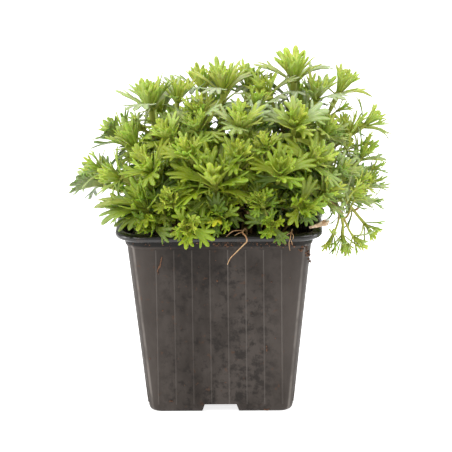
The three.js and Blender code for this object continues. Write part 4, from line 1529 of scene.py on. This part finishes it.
def make_shoots(look):
    templates = [leaf_object(name, plan) for name, plan in LEAF_KINDS.items()]
    tree = shoot_tree(templates, leaf_material(look), stem_material(look))
    for number, (name, plan) in enumerate(all_plans().items()):
        points = node_points(name)
        draw = seeded(SHOOT_SEED + number)
        stems = stems_of(name, plan)
        growth = OPEN_GROWTH if name in OPEN_SHOOTS else DENSE_GROWTH
        rosette = SPARSE_ROSETTE if name in OPEN_SHOOTS | FOOT_SHOOTS else FULL_ROSETTE
        leaves, sides = [], []
        for i, stem in enumerate(stems):
            crown = crown_leaves(stem, 1 + 10 * number + i, points)
            leaves += [{**leaf, "kind": SMALL} for leaf in crown] if growth["small_leaved"] else crown
            leaves += added_leaves(stem, rosette, draw)
            leaves += stem_leaves(stem, growth, draw)
            sides += side_stems(stem, growth, draw)
        sides += placed_side_stems(name, stems[0])
        leaves += arching_leaves(name, stems[0])
        for twig in sides:
            leaves += small_rosette(twig, growth, draw)
        sized = [turned(leaf, CROWN_SIZES.get(name, 1.0)) for leaf in leaves]
        leaves = [leaf for leaf in map(clear_of_pot, sized) if leaf]
        younger = YOUNGER.get(name, growth["younger"])
        for leaf in leaves:
            leaf["age"] = aged_and_shaded_by_height(leaf, younger)
        shoot = shoot_object(f"shoot_{name}", stems + sides, leaves, growth, draw)
        grow(shoot, tree, {"Sides": TUBE_SIDES, "Thickness": look.thickness})
        shoot.data.shade_smooth()
        tidy_attributes(shoot.data)
        finish_piece(shoot, "leaf", name)
    for template in templates:
        take_away(template)


# Roots and the dead leaf
def root_tree(material):
    """Smooth tubes along the strands of a root."""
    tree, given = geometry_tree("Root strands", Sides="Int")
    line = wire(tree, "GeometryNodeMeshToCurve", {"Mesh": given["Geometry"]})
    smooth = wire(tree, "GeometryNodeCurveSplineType", {"Curve": line}, spline_type="CATMULL_ROM")
    fine = wire(tree, "GeometryNodeSetSplineResolution", {"Geometry": smooth, "Resolution": 6})
    hand_out(dressed(tube_along(fine, given["Sides"], 1.0, attribute_of(tree, "stem_radius")), material))
    return tree


def make_roots(look):
    tree = root_tree(dry_material("root_fibre", look.root_pale, look.root_deep, 600))
    for name, strands in HANGING_ROOTS.items():
        points, edges, radii = [], [], []
        for i, strand in enumerate(strands):
            last = len(strand) - 1
            edges += [(k, k + 1) for k in range(len(points), len(points) + last)]
            points += strand
            thick = ROOT_RADII[name][min(i, 1)]
            radii += [thick * blend(1.0, 0.45, (k / last) ** 2) for k in range(len(strand))]
        made = mesh_object(f"{name}_strands", points, edges=edges)
        store(made.data, "stem_radius", "FLOAT", [r * MM for r in radii])
        grow(made, tree, {"Sides": TUBE_SIDES})
        made.data.shade_smooth()
        finish_piece(made, "root", name)


def make_dead_leaf(look):
    """The dry leaf on the rim, curled and creased."""
    made = leaf_object("dry_leaf", DRY_LEAF)
    seat, axis, out = DEAD_LEAF["seat"], DEAD_LEAF["axis"].normalized(), DEAD_LEAF["out"]
    out = (out - axis * out.dot(axis)).normalized()
    leaf = leaf_plan(seat, axis, out, DEAD_LEAF["length"], DEAD_LEAF["rise"], DEAD_LEAF["arch"], NARROW, 1.0)
    for vertex in made.data.vertices:
        across, along, through = vertex.co
        crease = 0.7 * noise.noise(Vector((across * 14, along * 6, 2.0)))
        place = bent_point(leaf, along, across * DEAD_LEAF["width"])
        place += out * (through * DEAD_LEAF["thickness"] + max(crease, -0.3) + 5.0 * across * across)
        vertex.co = place * MM
    set_material(made, dry_material("dry_leaf", look.leaf_pale, look.leaf_deep, 520))
    finish_piece(made, "dead_leaf", "dead_leaf")


# The stage
def make_floor(look):
    side = FLOOR_REACH
    corners = [(-side, -side, 0), (side, -side, 0), (side, side, 0), (-side, side, 0)]
    floor = mesh_object("floor", corners, [(0, 1, 2, 3)])
    material, _, shader = new_material("pale_floor")
    set_inputs(shader, {
        "Base Color": (*look.floor, 1),
        "Roughness": 0.9,
        "Emission Color": WHITE,
        "Emission Strength": look.floor_glow,
    })
    set_material(floor, material)


def light_room(look):
    world = bpy.data.worlds.new("soft_room")
    world.use_nodes = True
    set_inputs(world.node_tree.nodes["Background"], {"Color": WHITE, "Strength": look.room_light})
    bpy.context.scene.world = world
    for name, (place, target, width, height, watts) in LIGHTS.items():
        light = bpy.data.lights.new(name, "AREA")
        light.shape = "RECTANGLE"
        light.size, light.size_y, light.energy = width, height, watts
        made = linked(name, light)
        made.location = place
        made.rotation_euler = (Vector(target) - Vector(place)).to_track_quat("-Z", "Y").to_euler()


def place_camera(look):
    target = Vector(CAMERA_TARGET) * MM
    level = look.distance * math.cos(look.elevation)
    away = Vector((level * math.sin(look.azimuth), -level * math.cos(look.azimuth), 0))
    camera = linked("camera", bpy.data.cameras.new("camera"))
    camera.location = target + away + UP * look.distance * math.sin(look.elevation)
    aim = (target - camera.location).to_track_quat("-Z", "Y")
    camera.rotation_euler = (aim @ Quaternion((0, 0, 1), look.roll)).to_euler()
    camera.data.lens = look.focal_length
    camera.data.sensor_width = SENSOR_WIDTH
    camera.data.clip_start = 0.05
    bpy.context.scene.camera = camera


# Operators
class SAXIFRAGE_OT_pot(bpy.types.Operator):
    """Build the square nursery pot with its rolled rim, ribs and drain channels"""

    bl_idname = "saxifrage.pot"
    bl_label = "Build the pot"

    def execute(self, context):
        look = context.scene.saxifrage_pot
        finish_piece(make_pot(look, pot_material(look)), "pot_plastic", "pot")
        return {"FINISHED"}


class SAXIFRAGE_OT_compost(bpy.types.Operator):
    """Fill the pot with crumbly compost"""

    bl_idname = "saxifrage.compost"
    bl_label = "Fill with compost"

    def execute(self, context):
        look = context.scene.saxifrage_compost
        finish_piece(make_soil(look, peat_material(look)), "compost", "soil")
        return {"FINISHED"}


class SAXIFRAGE_OT_specks(bpy.types.Operator):
    """Stick peat specks to the pot"""

    bl_idname = "saxifrage.specks"
    bl_label = "Stick peat specks"

    def execute(self, context):
        make_specks(context.scene.saxifrage_compost)
        return {"FINISHED"}


class SAXIFRAGE_OT_shoots(bpy.types.Operator):
    """Grow the leafy stems with their rosettes"""

    bl_idname = "saxifrage.shoots"
    bl_label = "Grow the shoots"

    def execute(self, context):
        make_shoots(context.scene.saxifrage_foliage)
        return {"FINISHED"}


class SAXIFRAGE_OT_roots(bpy.types.Operator):
    """Hang the loose roots over the rim"""

    bl_idname = "saxifrage.roots"
    bl_label = "Hang the roots"

    def execute(self, context):
        make_roots(context.scene.saxifrage_litter)
        return {"FINISHED"}


class SAXIFRAGE_OT_dead_leaf(bpy.types.Operator):
    """Lay the dry leaf on the rim"""

    bl_idname = "saxifrage.dead_leaf"
    bl_label = "Lay the dry leaf"

    def execute(self, context):
        make_dead_leaf(context.scene.saxifrage_litter)
        return {"FINISHED"}


class SAXIFRAGE_OT_stage(bpy.types.Operator):
    """Set the pale floor, the soft light and the camera"""

    bl_idname = "saxifrage.stage"
    bl_label = "Set the stage"

    def execute(self, context):
        context.scene.view_settings.view_transform = "Standard"
        for step in (make_floor, light_room, place_camera):
            step(context.scene.saxifrage_stage)
        return {"FINISHED"}


class SAXIFRAGE_PT_panel(bpy.types.Panel):
    """The build steps of the potted saxifrage"""

    bl_idname = "SAXIFRAGE_PT_panel"
    bl_label = "Saxifrage"
    bl_space_type = "VIEW_3D"
    bl_region_type = "UI"
    bl_category = "Saxifrage"

    def draw(self, context):
        for step in STEPS:
            self.layout.operator(step.bl_idname)


SETTINGS = {
    "saxifrage_pot": PotSettings,
    "saxifrage_compost": CompostSettings,
    "saxifrage_foliage": FoliageSettings,
    "saxifrage_litter": LitterSettings,
    "saxifrage_stage": StageSettings,
}
STEPS = [
    SAXIFRAGE_OT_pot,
    SAXIFRAGE_OT_compost,
    SAXIFRAGE_OT_specks,
    SAXIFRAGE_OT_shoots,
    SAXIFRAGE_OT_roots,
    SAXIFRAGE_OT_dead_leaf,
    SAXIFRAGE_OT_stage,
]


def register():
    for kind in [*SETTINGS.values(), *STEPS, SAXIFRAGE_PT_panel]:
        bpy.utils.register_class(kind)
    for name, kind in SETTINGS.items():
        setattr(bpy.types.Scene, name, bpy.props.PointerProperty(type=kind))


def unregister():
    for name in SETTINGS:
        delattr(bpy.types.Scene, name)
    for kind in reversed([*SETTINGS.values(), *STEPS, SAXIFRAGE_PT_panel]):
        bpy.utils.unregister_class(kind)


def main():
    register()
    for step in STEPS:
        group, name = step.bl_idname.split(".")
        getattr(getattr(bpy.ops, group), name)()


if __name__ == "__main__":
    main()
